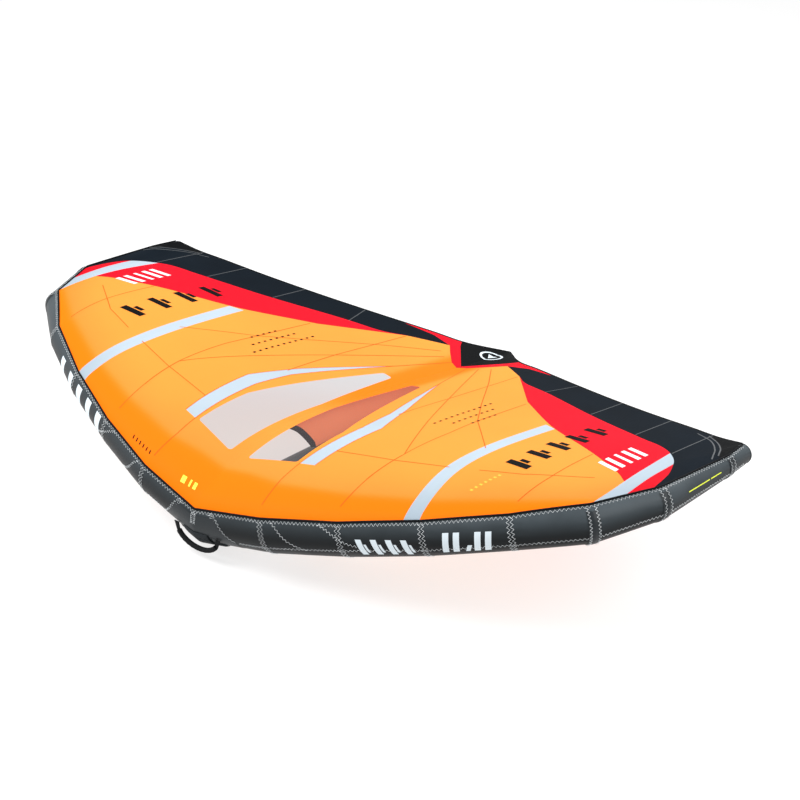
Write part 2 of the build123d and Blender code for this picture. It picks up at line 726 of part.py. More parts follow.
def build_leading_edge():
    for k, (first, last) in enumerate(TUBE_PANELS):
        panel = tube_shell(first, last, 0.0, -SLEEVE_WALL, SEAM_TURN.get(k, 0))
        left = mirror(panel, about=Plane.YZ)
        if k == 0:
            left = left - valve_opening()
        write(f"le_tube_right_{k + 1}", panel)
        write(f"le_tube_left_{k + 1}", left)
    write("le_bladder", bladder() - valve_opening())
    write("le_tip_caps", both_sides(tip_cap()))
    write("seam_guard_bands", seam_guards())
    write("le_centre_patch", centre_patch())
    write("loop_handle_pad", loop_pad())
    write("canopy_piping", joined_across(piping()))
    write("loop_handle", loop_handle())


def build_canopy():
    panels = canopy_panels()
    for name in ("window", "inner_panel", "outer_panel", "red_panel", "te_band"):
        write(f"{name}_right", panels[name])
        write(f"{name}_left", mirror(panels[name], about=Plane.YZ))
    for name in ("te_hem", "te_patch", "te_patch_trim", "centre_panel"):
        write(name, joined_across(panels[name]))
    for name in ("tip_patches", "outer_stripes", "tip_stripes", "flank_stripes", "red_tip_corners"):
        write(name, both_sides(panels[name]))


def build_strut():
    write("strut_sleeve", strut_sleeve())
    write("strut_bladder", strut_bladder())
    write("strut_end_patch", strut_end_patch())
    panel, hem = fin_parts()
    write("fin_panel", panel)
    write("fin_hem", hem)
    patches = handle_patches(*FRONT_HANDLE) + handle_patches(*REAR_HANDLE) + list(leash_patch())
    write("handle_base_patches", Compound(children=patches))
    for name, size in (("front", FRONT_HANDLE), ("rear", REAR_HANDLE)):
        write(f"{name}_handle_straps", handle_strap(*size))
        write(f"{name}_handle_grip", handle_grip(*size))
    write("leash_loop", leash_loop())


def build_valve_and_hose():
    write("valve_base", valve_base())
    write("valve_insert", valve_insert())
    write("valve_flap", valve_flap())
    write("valve_cap", valve_cap())
    write("one_pump_hose", hose())
    write("one_pump_ports", hose_elbows())
    write("hose_clip_base", clip_base())
    write("hose_clip_lever", clip_lever())


os.makedirs("parts", exist_ok=True)
build_leading_edge()
build_canopy()
build_strut()
build_valve_and_hose()
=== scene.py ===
import math

import bpy
import numpy as np
from mathutils import Matrix, Vector
from mathutils.bvhtree import BVHTree
from mathutils.geometry import delaunay_2d_cdt
from mathutils.kdtree import KDTree


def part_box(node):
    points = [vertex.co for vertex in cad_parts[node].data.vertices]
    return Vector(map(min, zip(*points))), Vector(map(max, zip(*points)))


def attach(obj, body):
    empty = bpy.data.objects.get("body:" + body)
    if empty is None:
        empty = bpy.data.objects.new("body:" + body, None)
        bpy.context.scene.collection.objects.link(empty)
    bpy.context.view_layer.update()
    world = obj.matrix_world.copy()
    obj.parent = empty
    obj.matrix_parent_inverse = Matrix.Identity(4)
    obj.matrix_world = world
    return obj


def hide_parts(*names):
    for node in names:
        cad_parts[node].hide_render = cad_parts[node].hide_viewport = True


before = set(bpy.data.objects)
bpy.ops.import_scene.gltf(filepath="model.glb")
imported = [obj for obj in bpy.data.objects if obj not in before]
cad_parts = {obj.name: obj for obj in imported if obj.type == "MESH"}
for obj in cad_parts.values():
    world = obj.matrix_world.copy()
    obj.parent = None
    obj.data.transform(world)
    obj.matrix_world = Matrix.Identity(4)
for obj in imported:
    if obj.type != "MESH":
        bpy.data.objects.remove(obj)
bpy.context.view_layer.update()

# Lengths below are in millimetres in the wing's own layout, which starts at the middle of the
# canopy's front seam. row() moves them to the row frame, in metres.
ROW_ORIGIN = np.array([0.0, 1015.0, -184.5])

# seam x, y, z | tube radius | clock angle of the seam | clock angle where the canopy leaves
STATIONS = np.array(
    [
        (0, 0, 0, 115, 28, 60),
        (160, 18, 32, 114, 30, 60),
        (288, 33, 58, 112, 32, 60),
        (574, 112, 120, 103, 37, 63),
        (850, 215, 190, 91, 47, 65),
        (1112, 347, 260, 83, 57, 70),
        (1310, 515, 304, 75, 80, 84),
        (1420, 765, 309, 62, 84, 86),
        (1446, 1170, 284, 47, 68, 86),
        (1437, 1262, 280, 42, 84, 86),
    ],
    float,
)
# trailing edge x, y, z | front reach and rear reach of the rib's curve | rear slope
TRAILING = np.array(
    [
        (0, 1873, 0, 420, 1050, 6.8),
        (150, 1737, 44, 380, 920, 6.8),
        (270, 1686, 70, 360, 860, 6.8),
        (530, 1581, 118, 330, 800, 7.0),
        (780, 1489, 162, 270, 700, 7.0),
        (1000, 1414, 202, 220, 580, 7.5),
        (1200, 1356, 237, 150, 430, 8.0),
        (1330, 1325, 255, 120, 280, 7.0),
        (1420, 1308, 273, 30, 60, 4.0),
        (1428, 1306, 275, 8, 12, 3.0),
    ],
    float,
)
TUBE_STATIONS = (0, 2, 3, 4, 5, 6, 7, 8)
TUBE_PANELS = ((0, 1), (1, 2), (2, 3), (3, 4), (4, 5), (5, 6), (6, 8))
TUBE_END = (np.array([1430.0, 1300.0, 237.0]), 39.0)
CLOTH_LIFT = 1.6


def row(p):
    return (np.asarray(p, float) - ROW_ORIGIN) / 1000.0


def unit(v):
    v = np.asarray(v, float)
    return v / np.linalg.norm(v)


# ---------------------------------------------------------------- materials
def node_tree(name):
    mat = bpy.data.materials.new(name)
    mat.use_nodes = True
    mat.use_backface_culling = False
    nt = mat.node_tree
    nt.nodes.clear()
    return mat, nt


def add(nt, kind, **props):
    n = nt.nodes.new(kind)
    for key, value in props.items():
        setattr(n, key, value)
    return n


def tinted(nt, colour, spread, scale, detail=4.0, contrast=(0.35, 0.65)):
    """Colour that drifts a little between a darker and a lighter tone."""
    where = add(nt, "ShaderNodeTexCoord")
    noise = add(nt, "ShaderNodeTexNoise")
    noise.inputs["Scale"].default_value = scale
    noise.inputs["Detail"].default_value = detail
    nt.links.new(where.outputs["Object"], noise.inputs["Vector"])
    ramp = add(nt, "ShaderNodeValToRGB")
    ramp.color_ramp.elements[0].position = contrast[0]
    ramp.color_ramp.elements[1].position = contrast[1]
    ramp.color_ramp.elements[0].color = (*[c * (1 - spread) for c in colour], 1)
    ramp.color_ramp.elements[1].color = (*[min(1, c * (1 + spread)) for c in colour], 1)
    nt.links.new(noise.outputs["Fac"], ramp.inputs["Fac"])
    return where, noise, ramp.outputs["Color"]


def weave_bump(nt, where, pitch, strength, distance):
    """Bump from two crossed sets of threads, pitch apart in metres."""
    total = None
    for axis in ("X", "Y", "Z"):
        wave = add(nt, "ShaderNodeTexWave", wave_type="BANDS", bands_direction=axis)
        wave.inputs["Scale"].default_value = 0.314 / pitch
        wave.inputs["Distortion"].default_value = 0.4
        wave.inputs["Detail"].default_value = 1.0
        nt.links.new(where.outputs["Object"], wave.inputs["Vector"])
        if total is None:
            total = wave.outputs["Fac"]
        else:
            both = add(nt, "ShaderNodeMath", operation="MAXIMUM")
            nt.links.new(total, both.inputs[0])
            nt.links.new(wave.outputs["Fac"], both.inputs[1])
            total = both.outputs[0]
    bump = add(nt, "ShaderNodeBump")
    bump.inputs["Strength"].default_value = strength
    bump.inputs["Distance"].default_value = distance
    nt.links.new(total, bump.inputs["Height"])
    return bump


def principled(nt, colour, rough, bump=None, sheen=0.0, coat=0.0, specular=0.5):
    p = add(nt, "ShaderNodeBsdfPrincipled")
    if hasattr(colour, "default_value"):
        nt.links.new(colour, p.inputs["Base Color"])
    else:
        p.inputs["Base Color"].default_value = (*colour, 1)
    p.inputs["Roughness"].default_value = rough
    p.inputs["Sheen Weight"].default_value = sheen
    p.inputs["Coat Weight"].default_value = coat
    p.inputs["Specular IOR Level"].default_value = specular
    if bump is not None:
        nt.links.new(bump.outputs["Normal"], p.inputs["Normal"])
    return p


def finish_material(nt, shader):
    out = add(nt, "ShaderNodeOutputMaterial")
    nt.links.new(shader, out.inputs["Surface"])


def ripstop(name, colour, through, share, rough=0.6, spread=0.04, pitch=0.005, gloss=0.06, painted_shade=None):
    """Thin woven cloth that lets light through, with a ripstop grid. The deeper colour given last is
    painted shade where the tube or the strut lies behind the cloth, standing in for the light from behind
    that they shut out; there the cloth also lets less light through."""
    mat, nt = node_tree(name)
    where, _, tone = tinted(nt, colour, spread, 2.2)
    if painted_shade:
        # painted shade: mask of where the tube or the strut lies behind the cloth
        shade = add(nt, "ShaderNodeAttribute", attribute_name="painted_shade")
        painted_shade_mix = add(nt, "ShaderNodeMix", data_type="RGBA")
        nt.links.new(shade.outputs["Fac"], painted_shade_mix.inputs["Factor"])
        nt.links.new(tone, painted_shade_mix.inputs["A"])
        painted_shade_mix.inputs["B"].default_value = (*painted_shade, 1)
        tone = painted_shade_mix.outputs["Result"]
    bump = weave_bump(nt, where, pitch, 0.25, 0.0003)
    face = principled(nt, tone, rough, bump, specular=gloss)
    back = add(nt, "ShaderNodeBsdfTranslucent")
    back.inputs["Color"].default_value = (*through, 1)
    nt.links.new(bump.outputs["Normal"], back.inputs["Normal"])
    mix = add(nt, "ShaderNodeMixShader")
    mix.inputs["Fac"].default_value = share
    if painted_shade:
        fade = add(nt, "ShaderNodeMapRange")
        fade.inputs["To Min"].default_value = share
        fade.inputs["To Max"].default_value = 0.08
        nt.links.new(shade.outputs["Fac"], fade.inputs["Value"])
        nt.links.new(fade.outputs["Result"], mix.inputs["Fac"])
    nt.links.new(face.outputs[0], mix.inputs[1])
    nt.links.new(back.outputs[0], mix.inputs[2])
    finish_material(nt, mix.outputs[0])
    return mat


def woven(
    name, colour, rough=0.6, spread=0.08, pitch=0.0016, strength=0.35,
    sheen=0.1, scale=9.0, gloss=0.4, low=None,
):
    """Opaque woven cloth or webbing. low is a painted shade: the darker colour that it fades to on faces
    that look down.
    """
    mat, nt = node_tree(name)
    where, noise, tone = tinted(nt, colour, spread, scale)
    # painted shade: faces that look down fade to a darker colour
    if low:
        facing = add(nt, "ShaderNodeSeparateXYZ")
        nt.links.new(where.outputs["Normal"], facing.inputs["Vector"])
        fade = add(nt, "ShaderNodeMapRange", interpolation_type="SMOOTHSTEP")
        fade.inputs["From Min"].default_value = 0.85
        fade.inputs["From Max"].default_value = -0.25
        nt.links.new(facing.outputs["Z"], fade.inputs["Value"])
        dark = add(nt, "ShaderNodeMix", data_type="RGBA")
        nt.links.new(fade.outputs["Result"], dark.inputs["Factor"])
        nt.links.new(tone, dark.inputs["A"])
        dark.inputs["B"].default_value = (*low, 1)
        tone = dark.outputs["Result"]
    bump = weave_bump(nt, where, pitch, strength, 0.0003)
    p = principled(nt, tone, rough, bump, sheen=sheen, specular=gloss)
    rough_map = add(nt, "ShaderNodeMapRange")
    rough_map.inputs["To Min"].default_value = max(0.05, rough - 0.08)
    rough_map.inputs["To Max"].default_value = min(1.0, rough + 0.1)
    nt.links.new(noise.outputs["Fac"], rough_map.inputs["Value"])
    nt.links.new(rough_map.outputs["Result"], p.inputs["Roughness"])
    finish_material(nt, p.outputs[0])
    return mat


def moulded(name, colour, rough=0.4, spread=0.06, grain=900.0, strength=0.08, coat=0.0):
    """Moulded plastic or rubber with a fine grain."""
    mat, nt = node_tree(name)
    where, _, tone = tinted(nt, colour, spread, 30.0)
    fine = add(nt, "ShaderNodeTexNoise")
    fine.inputs["Scale"].default_value = grain
    nt.links.new(where.outputs["Object"], fine.inputs["Vector"])
    bump = add(nt, "ShaderNodeBump")
    bump.inputs["Strength"].default_value = strength
    bump.inputs["Distance"].default_value = 0.0003
    nt.links.new(fine.outputs["Fac"], bump.inputs["Height"])
    finish_material(nt, principled(nt, tone, rough, bump, coat=coat).outputs[0])
    return mat


def window_film(name):
    """Clear film with a faint haze."""
    mat, nt = node_tree(name)
    _, _, tone = tinted(nt, (0.50, 0.50, 0.52), 0.03, 3.0)
    haze = principled(nt, tone, 0.14, specular=0.35)
    clear = add(nt, "ShaderNodeBsdfTransparent")
    clear.inputs["Color"].default_value = (0.74, 0.77, 0.79, 1)
    mix = add(nt, "ShaderNodeMixShader")
    mix.inputs["Fac"].default_value = 0.07
    nt.links.new(clear.outputs[0], mix.inputs[1])
    nt.links.new(haze.outputs[0], mix.inputs[2])
    finish_material(nt, mix.outputs[0])
    return mat


def ribbed_band(name, colour):
    """Dark trailing edge cloth, with fine ribs across its depth."""
    mat, nt = node_tree(name)
    where, _, tone = tinted(nt, colour, 0.12, 5.0)
    wave = add(nt, "ShaderNodeTexWave", wave_type="BANDS", bands_direction="DIAGONAL")
    turn = add(nt, "ShaderNodeMapping")
    turn.inputs["Rotation"].default_value = (0, 0, math.radians(28))
    nt.links.new(where.outputs["Object"], turn.inputs["Vector"])
    nt.links.new(turn.outputs["Vector"], wave.inputs["Vector"])
    wave.inputs["Scale"].default_value = 30.0
    wave.inputs["Distortion"].default_value = 0.6
    bump = add(nt, "ShaderNodeBump")
    bump.inputs["Strength"].default_value = 0.12
    bump.inputs["Distance"].default_value = 0.0006
    nt.links.new(wave.outputs["Fac"], bump.inputs["Height"])
    p = principled(nt, tone, 0.65, bump, specular=0.03)
    finish_material(nt, p.outputs[0])
    return mat


M = {
    "orange": ripstop(
        # the last colour is painted shade, deeper orange where the tube or the strut lies behind the cloth
        "Orange_ripstop", (0.98, 0.325, 0.050), (1.0, 0.39, 0.065), 0.42, painted_shade=(0.93, 0.170, 0.0),
    ),
    "white": ripstop("White_ripstop", (0.43, 0.52, 0.60), (0.46, 0.57, 0.65), 0.30),
    "red": ripstop("Red_ripstop", (0.86, 0.004, 0.018), (0.95, 0.008, 0.024), 0.35),
    "black": ribbed_band("Trailing_band_cloth", (0.0030, 0.0062, 0.0105)),
    "film": window_film("Window_film"),
    "dacron": woven(
        "Grey_dacron", (0.050, 0.062, 0.070), rough=0.40, spread=0.10, pitch=0.0022, sheen=0.0, gloss=0.14,
        # painted shade on the faces of the tube and the strut that look down
        low=(0.0030, 0.0045, 0.0055),
    ),
    "band": woven(
        "Scuff_band_cloth", (0.010, 0.014, 0.017), rough=0.42, pitch=0.0028, strength=0.5,
        sheen=0.0, gloss=0.3,
    ),
    "patch": woven(
        "Black_patch_cloth", (0.0016, 0.0022, 0.0028), rough=0.65, pitch=0.003, strength=0.5,
        sheen=0.0, gloss=0.04,
    ),
    "fin": ripstop("Fin_cloth", (1.0, 0.20, 0.085), (1.0, 0.32, 0.14), 0.55),
    "fin_hem": woven(
        "Fin_hem_cloth", (0.020, 0.006, 0.006), rough=0.7, pitch=0.003, sheen=0.0, gloss=0.05,
    ),
    "cord": woven(
        "Edge_cord", (0.003, 0.004, 0.005), rough=0.75, pitch=0.0014, strength=0.5, sheen=0.0,
        gloss=0.1,
    ),
    "seam": ripstop("Orange_seam_tape", (0.70, 0.125, 0.012), (0.8, 0.15, 0.02), 0.25, spread=0.08),
    "dark_seam": woven("Dark_seam_tape", (0.028, 0.034, 0.04), rough=0.6, pitch=0.002),
    "thread": woven(
        "Stitch_thread", (0.78, 0.82, 0.84), rough=0.6, spread=0.12, pitch=0.0009, strength=0.4,
        scale=60.0,
    ),
    "black_thread": woven(
        "Dark_thread", (0.03, 0.035, 0.04), rough=0.6, spread=0.12, pitch=0.0009, scale=60.0,
    ),
    "webbing": woven(
        "Black_webbing", (0.0045, 0.005, 0.006), rough=0.75, pitch=0.0018, strength=0.8, sheen=0.0,
        gloss=0.15,
    ),
    "grip": moulded("Grip_foam", (0.010, 0.011, 0.012), rough=0.82, grain=420.0, strength=0.5),
    "pad": woven(
        "Pad_cloth", (0.010, 0.013, 0.016), rough=0.7, pitch=0.0034, strength=0.7, sheen=0.0,
        gloss=0.25,
    ),
    "plastic": moulded("Black_plastic", (0.020, 0.020, 0.022), rough=0.38),
    "accent": moulded("Red_plastic", (0.55, 0.035, 0.022), rough=0.35),
    "hose": moulded("Hose_tube", (0.55, 0.58, 0.56), rough=0.3, coat=0.3),
    "bladder": moulded("Bladder_film", (0.62, 0.63, 0.60), rough=0.25, coat=0.4),
    "print_white": woven(
        "White_print", (0.62, 0.70, 0.75), rough=0.5, spread=0.03, pitch=0.0022, strength=0.2,
    ),
    "print_black": woven(
        "Black_print", (0.003, 0.0035, 0.004), rough=0.65, spread=0.10, pitch=0.0022, strength=0.2,
        sheen=0.0, gloss=0.04,
    ),
    "print_lime": woven(
        "Lime_print", (0.72, 0.80, 0.02), rough=0.5, spread=0.05, pitch=0.0022, strength=0.2,
    ),
    "print_amber": woven(
        "Amber_print", (0.85, 0.42, 0.02), rough=0.5, spread=0.05, pitch=0.0022, strength=0.2,
    ),
}


# ---------------------------------------------------------------- mesh helpers
def piece(name, verts, faces, material, body="wing", normals=None, slot=None):
    """New mesh object in the row frame. verts are in metres."""
    me = bpy.data.meshes.new(name)
    me.from_pydata([tuple(map(float, v)) for v in verts], [], [tuple(map(int, f)) for f in faces])
    me.update()
    ob = bpy.data.objects.new(name, me)
    bpy.context.collection.objects.link(ob)
    me.materials.append(M[material])
    me.polygons.foreach_set("use_smooth", [True] * len(me.polygons))
    if normals is not None:
        me.normals_split_custom_set_from_vertices([tuple(map(float, n)) for n in normals])
    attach(ob, body)
    return ob


def grid_faces(rows, cols, closed=False, start=0):
    faces = []
    for i in range(rows - 1):
        for j in range(cols if closed else cols - 1):
            a, b = start + i * cols + j, start + i * cols + (j + 1) % cols
            faces.append((a, b, b + cols, a + cols))
    return faces


class Builder:
    """Gathers many small strips and rods into one mesh."""

    def __init__(self):
        self.verts, self.faces = [], []

    def grid(self, points, closed=False):
        points = np.asarray(points, float)
        start = len(self.verts)
        self.verts += list(points.reshape(-1, 3))
        self.faces += grid_faces(points.shape[0], points.shape[1], closed, start)

    def rod(self, path, radius, sides=6, normals=None, flat=1.0, caps=True):
        """Round or flattened rod along a path. normals give the flat side's direction."""
        path = np.asarray(path, float)
        tangent = np.gradient(path, axis=0)
        tangent /= np.maximum(np.linalg.norm(tangent, axis=1, keepdims=True), 1e-12)
        if normals is None:
            up = np.tile(unit(np.cross(tangent[0], (0.31, 0.87, 0.38))), (len(path), 1))
            for i in range(1, len(path)):
                up[i] = up[i - 1] - tangent[i] * np.dot(up[i - 1], tangent[i])
                up[i] /= np.linalg.norm(up[i])
        else:
            up = np.asarray(normals, float)
        side = np.cross(tangent, up)
        side /= np.maximum(np.linalg.norm(side, axis=1, keepdims=True), 1e-12)
        up = np.cross(side, tangent)
        a = np.linspace(0, 2 * np.pi, sides, endpoint=False)
        r = np.broadcast_to(np.asarray(radius, float), (len(path),))[:, None, None]
        ring = np.cos(a)[None, :, None] * side[:, None, :] + flat * np.sin(a)[None, :, None] * up[:, None, :]
        start = len(self.verts)
        self.grid(path[:, None, :] + r * ring, closed=True)
        if caps:
            n = len(path)
            self.faces.append(tuple(start + k for k in range(sides)))
            self.faces.append(tuple(start + (n - 1) * sides + k for k in reversed(range(sides))))

    def make(self, name, material, **more):
        return piece(name, self.verts, self.faces, material, **more)


def resample(points, step):
    """Points an even step apart along a polyline, corners kept when they are sharp."""
    points = np.asarray(points, float)
    out = [points[0]]
    for a, b in zip(points, points[1:]):
        n = max(1, int(round(np.linalg.norm(b - a) / step)))
        out += [a + (b - a) * k / n for k in range(1, n + 1)]
    return np.array(out)


def smooth_line(points, step):
    """Catmull-Rom curve through the points, sampled a step apart."""
    p = np.asarray(points, float)
    p = np.vstack([2 * p[0] - p[1], p, 2 * p[-1] - p[-2]])
    out = []
    for i in range(1, len(p) - 2):
        n = max(2, int(np.linalg.norm(p[i + 1] - p[i]) / step))
        for k in range(n):
            t = k / n
            out.append(
                0.5
                * (
                    2 * p[i]
                    + (p[i + 1] - p[i - 1]) * t
                    + (2 * p[i - 1] - 5 * p[i] + 4 * p[i + 1] - p[i + 2]) * t * t
                    + (3 * p[i] - p[i - 1] - 3 * p[i + 1] + p[i + 2]) * t**3
                )
            )
    out.append(p[-2])
    return np.array(out)


def mirrored(points):
    return np.asarray(points, float) * np.array([-1, 1, 1])


# ---------------------------------------------------------------- cloth facts
# a piece that fills less of its rectangle than this is a bent strip, and its width is its mean width
STRIP_SHARE = 0.31


def cut_size(ob, copies=1):
    """(width, length) and area of a piece, in metres, measured on the drawn mesh."""
    pts = np.array([v.co[:] for v in ob.data.vertices])
    if copies == 2:
        pts = pts[pts[:, 0] >= -1e-6]
    area = sum(f.area for f in ob.data.polygons)
    q = pts - pts.mean(axis=0)
    axes = np.linalg.svd(q, full_matrices=False)[2]
    extent = np.ptp(q @ axes.T, axis=0)
    length, width = float(extent[0]) * copies, float(extent[1])
    if area < STRIP_SHARE * width * length:
        width = area / length
    return (max(width, area / length, 0.0101), length), area


def stretched(ob, copies=1):
    flat, area = cut_size(ob, copies)
    area = min(area, flat[0] * flat[1])


# ---------------------------------------------------------------- tube and canopy surfaces
def station_frame(i):
    here = STATIONS[i, :3]
    if i == 0:
        along = np.array([1.0, 0, 0])
    else:
        before = unit(here - STATIONS[i - 1, :3])
        after = unit(STATIONS[i + 1, :3] - here) if i < 9 else before
        along = unit(before + after)
    inward = unit((-along[1], along[0], 0))
    return along, inward, np.cross(along, inward)


def ring_at(i):
    """Centre, inward, up and radius of the tube's circle at a station."""
    _, inward, up = station_frame(i)
    r, c = STATIONS[i, 3], math.radians(STATIONS[i, 4])
    return STATIONS[i, :3] + r * math.cos(c) * inward - r * math.sin(c) * up, inward, up, r


RINGS = [ring_at(i) for i in TUBE_STATIONS]
RINGS.append((TUBE_END[0], *station_frame(9)[1:], TUBE_END[1]))


def tube_point(k, share, clock, lift=0.0):
    """Point on the tube's surface, k rings out and share of the way on, and its normal."""
    c = np.radians(clock)
    out = []
    for centre, inward, up, r in RINGS[k : k + 2]:
        way = -np.cos(c)[..., None] * inward + np.sin(c)[..., None] * up
        out.append((centre + (r + lift) * way, way))
    s = np.asarray(share, float)[..., None]
    return out[0][0] * (1 - s) + out[1][0] * s, out[0][1] * (1 - s) + out[1][1] * s


def run_of(path):
    """Distance along a path at each of its points."""
    return np.concatenate([[0], np.cumsum(np.linalg.norm(np.diff(path, axis=0), axis=1))])


def at_even_steps(values, run, count):
    """Values that go with a path's points, read at count even steps along its run."""
    want = np.linspace(0, run[-1], count)
    return np.column_stack([np.interp(want, run, values[:, j]) for j in range(3)])


def tube_path(rings, clocks, step=4.0, lift=0.0):
    """Path on the tube through (ring number with its fraction, clock angle) pairs."""
    q = smooth_line(np.column_stack([np.asarray(rings, float), np.asarray(clocks, float)]), 0.02)
    u = np.clip(q[:, 0], 0, 7.9999)
    pts, nrm = [], []
    for a, c in zip(u, q[:, 1]):
        p, n = tube_point(int(a), np.array(a - int(a)), np.array(c), lift)
        pts.append(p)
        nrm.append(n)
    pts, nrm = np.array(pts), np.array(nrm)
    run = run_of(pts)
    count = max(3, int(run[-1] / step))
    return at_even_steps(pts, run, count), at_even_steps(nrm, run, count)


def hermite(values, knots):
    """Smooth curve through station values; returns a function of the station number."""
    v = np.asarray(values, float)
    slope = np.empty_like(v)
    d = np.diff(v, axis=0) / np.diff(knots)[:, None]
    slope[0], slope[-1] = d[0], d[-1]
    h = np.diff(knots)
    slope[1:-1] = (d[:-1] * h[1:, None] + d[1:] * h[:-1, None]) / (h[1:] + h[:-1])[:, None]

    def at(u):
        u = np.clip(np.asarray(u, float), 0, len(v) - 1)
        i = np.minimum(u.astype(int), len(v) - 2)
        t = (u - i)[:, None]
        hh = h[i][:, None]
        return (
            (2 * t**3 - 3 * t**2 + 1) * v[i]
            + (t**3 - 2 * t**2 + t) * hh * slope[i]
            + (-2 * t**3 + 3 * t**2) * v[i + 1]
            + (t**3 - t**2) * hh * slope[i + 1]
        )

    return at


KNOTS = np.concatenate([[0], np.cumsum(np.linalg.norm(np.diff(TRAILING[:, :3], axis=0), axis=1) + 60)])


def rib_controls():
    start, reach, back = [], [], []
    for i in range(10):
        centre, inward, up, r = ring_at(i)
        c = math.radians(STATIONS[i, 5])
        p0 = centre + (r + CLOTH_LIFT) * (-math.cos(c) * inward + math.sin(c) * up)
        d = math.sin(c) * inward + math.cos(c) * up
        te = TRAILING[i, :3] + np.array([0, 0, CLOTH_LIFT])
        level = unit((p0 - te) * np.array([1, 1, 0]))
        s = math.radians(TRAILING[i, 5])
        start.append(p0)
        reach.append(TRAILING[i, 3] * d)
        back.append(TRAILING[i, 4] * (level * math.cos(s) + np.array([0, 0, math.sin(s)])))
    return np.array(start), hermite(reach, KNOTS), hermite(back, KNOTS)


RIB_START, RIB_REACH, RIB_BACK = rib_controls()
RIB_END = hermite(TRAILING[:, :3] + np.array([0, 0, CLOTH_LIFT]), KNOTS)


def wrap_point(u, f):
    """Canopy point on the tube: u is the station with its fraction, f from the seam, 0, to 1."""
    out = np.zeros((len(u), 3))
    i = np.minimum(u.astype(int), 8)
    w = u - i
    for side in (0, 1):
        for k in range(10):
            pick = (i + side) == k
            if not pick.any():
                continue
            centre, inward, up, r = ring_at(k)
            c = np.radians(STATIONS[k, 4] + (STATIONS[k, 5] - STATIONS[k, 4]) * f[pick])
            way = -np.cos(c)[:, None] * inward + np.sin(c)[:, None] * up
            share = w[pick] if side else 1 - w[pick]
            out[pick] += share[:, None] * (centre + (r + CLOTH_LIFT) * way)
    return out


def canopy_point(u, t):
    """Canopy point behind the tube, t from 0 where it leaves the tube to 1 at the edge."""
    i = np.minimum(u.astype(int), 8)
    w = (u - i)[:, None]
    p0 = RIB_START[i] * (1 - w) + RIB_START[i + 1] * w
    p3 = RIB_END(u)
    p1, p2 = p0 + RIB_REACH(u), p3 + RIB_BACK(u)
    t = t[:, None]
    return (1 - t) ** 3 * p0 + 3 * t * (1 - t) ** 2 * p1 + 3 * t * t * (1 - t) * p2 + t**3 * p3


def reference_surface():
    """Dense grid of the right half of the canopy, for looking up heights."""
    us = np.linspace(0, 9, 9 * 26 + 1)
    fs = np.linspace(-0.35, 1, 16)[:-1]
    ts = np.linspace(0, 1.012, 96)
    cols = []
    for f in fs:
        cols.append(wrap_point(us, np.full(len(us), f)))
    for t in ts:
        cols.append(canopy_point(us, np.full(len(us), t)))
    return np.stack(cols, axis=1)


REF = reference_surface()
REF_BVH = BVHTree.FromPolygons(
    [Vector(p) for p in REF.reshape(-1, 3)], grid_faces(REF.shape[0], REF.shape[1])
)


def ref_normals():
    du = np.gradient(REF, axis=0)
    dv = np.gradient(REF, axis=1)
    n = np.cross(du, dv)
    n /= np.maximum(np.linalg.norm(n, axis=2, keepdims=True), 1e-9)
    return n * np.sign(n[..., 2:3] + 1e-9)


REF_NORMAL = ref_normals().reshape(-1, 3)
REF_TREE = KDTree(len(REF_NORMAL))
for _i, _p in enumerate(REF.reshape(-1, 3)):
    REF_TREE.insert(Vector((_p[0], _p[1], 0)), _i)
REF_TREE.balance()


def height_near(x, y):
    _, index, _ = REF_TREE.find(Vector((x, y, 0)))
    return REF.reshape(-1, 3)[index][2]


def lift_to_canopy(xy):
    """Points and normals on the canopy over plan points; negative x is the mirrored half."""
    pts, nrm = [], []
    for x, y in xy:
        ax = max(abs(x), 0.01)
        hit, _, _, _ = REF_BVH.ray_cast(Vector((ax, y, 900)), Vector((0, 0, -1)))
        if hit is None:
            hit = REF_BVH.find_nearest(Vector((ax, y, height_near(ax, y))))[0]
        found = REF_TREE.find_n(Vector((ax, y, 0)), 3)
        n, total = np.zeros(3), 0.0
        for _, index, d in found:
            k = 1 / (d + 0.5)
            n, total = n + REF_NORMAL[index] * k, total + k
        n = unit(n)
        p = np.array(hit)
        if x < 0:
            p, n = p * (-1, 1, 1), n * (-1, 1, 1)
        if abs(x) < 0.02:
            p[0] = 0.0
        pts.append(p)
        nrm.append(n)
    return np.array(pts), np.array(nrm)


# ---------------------------------------------------------------- canopy panels
FAR = 2100
CENTRE_SEAM = [
    (278, -60), (260, 170), (262, 262), (269, 591),
    (250, 767), (182, 994), (117, 1242), (41, 1517),
]
WINDOW = [(44, 222), (246, 264), (240, 515), (96, 1142), (52, 1142), (28, 700)]
FLANK_OUTER = [(324, 274), (330, 400), (338, 618), (271, 840), (117, 1242)]
FLANK_INNER = [(250, 767), (269, 591), (262, 262)]
OUTER_STRIPE_INNER = [(800, 160), (778, 290), (755, 481), (754, 700), (769, 1036)]
OUTER_STRIPE_OUTER = [(826, 1010), (811, 700), (811, 481), (833, 290), (857, 160)]
TIP_STRIPE_INNER = [(1310, 440), (1316, 632), (1306, 852), (1288, 1054)]
TIP_STRIPE_OUTER = [(1340, 1040), (1357, 960), (1363, 760), (1370, 520)]
RED_FRONT = [(293, 1530), (542, 1238), (790, 1037), (1003, 904), (1234, 775), (1316, 712)]
BAND_FRONT = [
    (152, 1642),
    (293, 1530),
    (380, 1455),
    (546, 1386),
    (885, 1222),
    (1114, 1123),
    (1219, 1087),
    (1281, 1051),
    (1340, 985),
    (1384, 890),
    (1400, 820),
    (1411, 740),
]
TRIM = [(0, 1496), (41, 1516), (105, 1585), (152, 1642), (250, 1655), (380, 1626)]
TE_PATCH = [(0, 1526), (127, 1684), (150, 1722)]
TIP_PATCH = [(1291, 1315), (1353, 1259), (1401, 1196), (1432, 1127)]
HEM_WIDTH = 13


def curve(points):
    """Smooth curve through plan points, as a list of points."""
    return [tuple(p) for p in smooth_line(points, 10)]


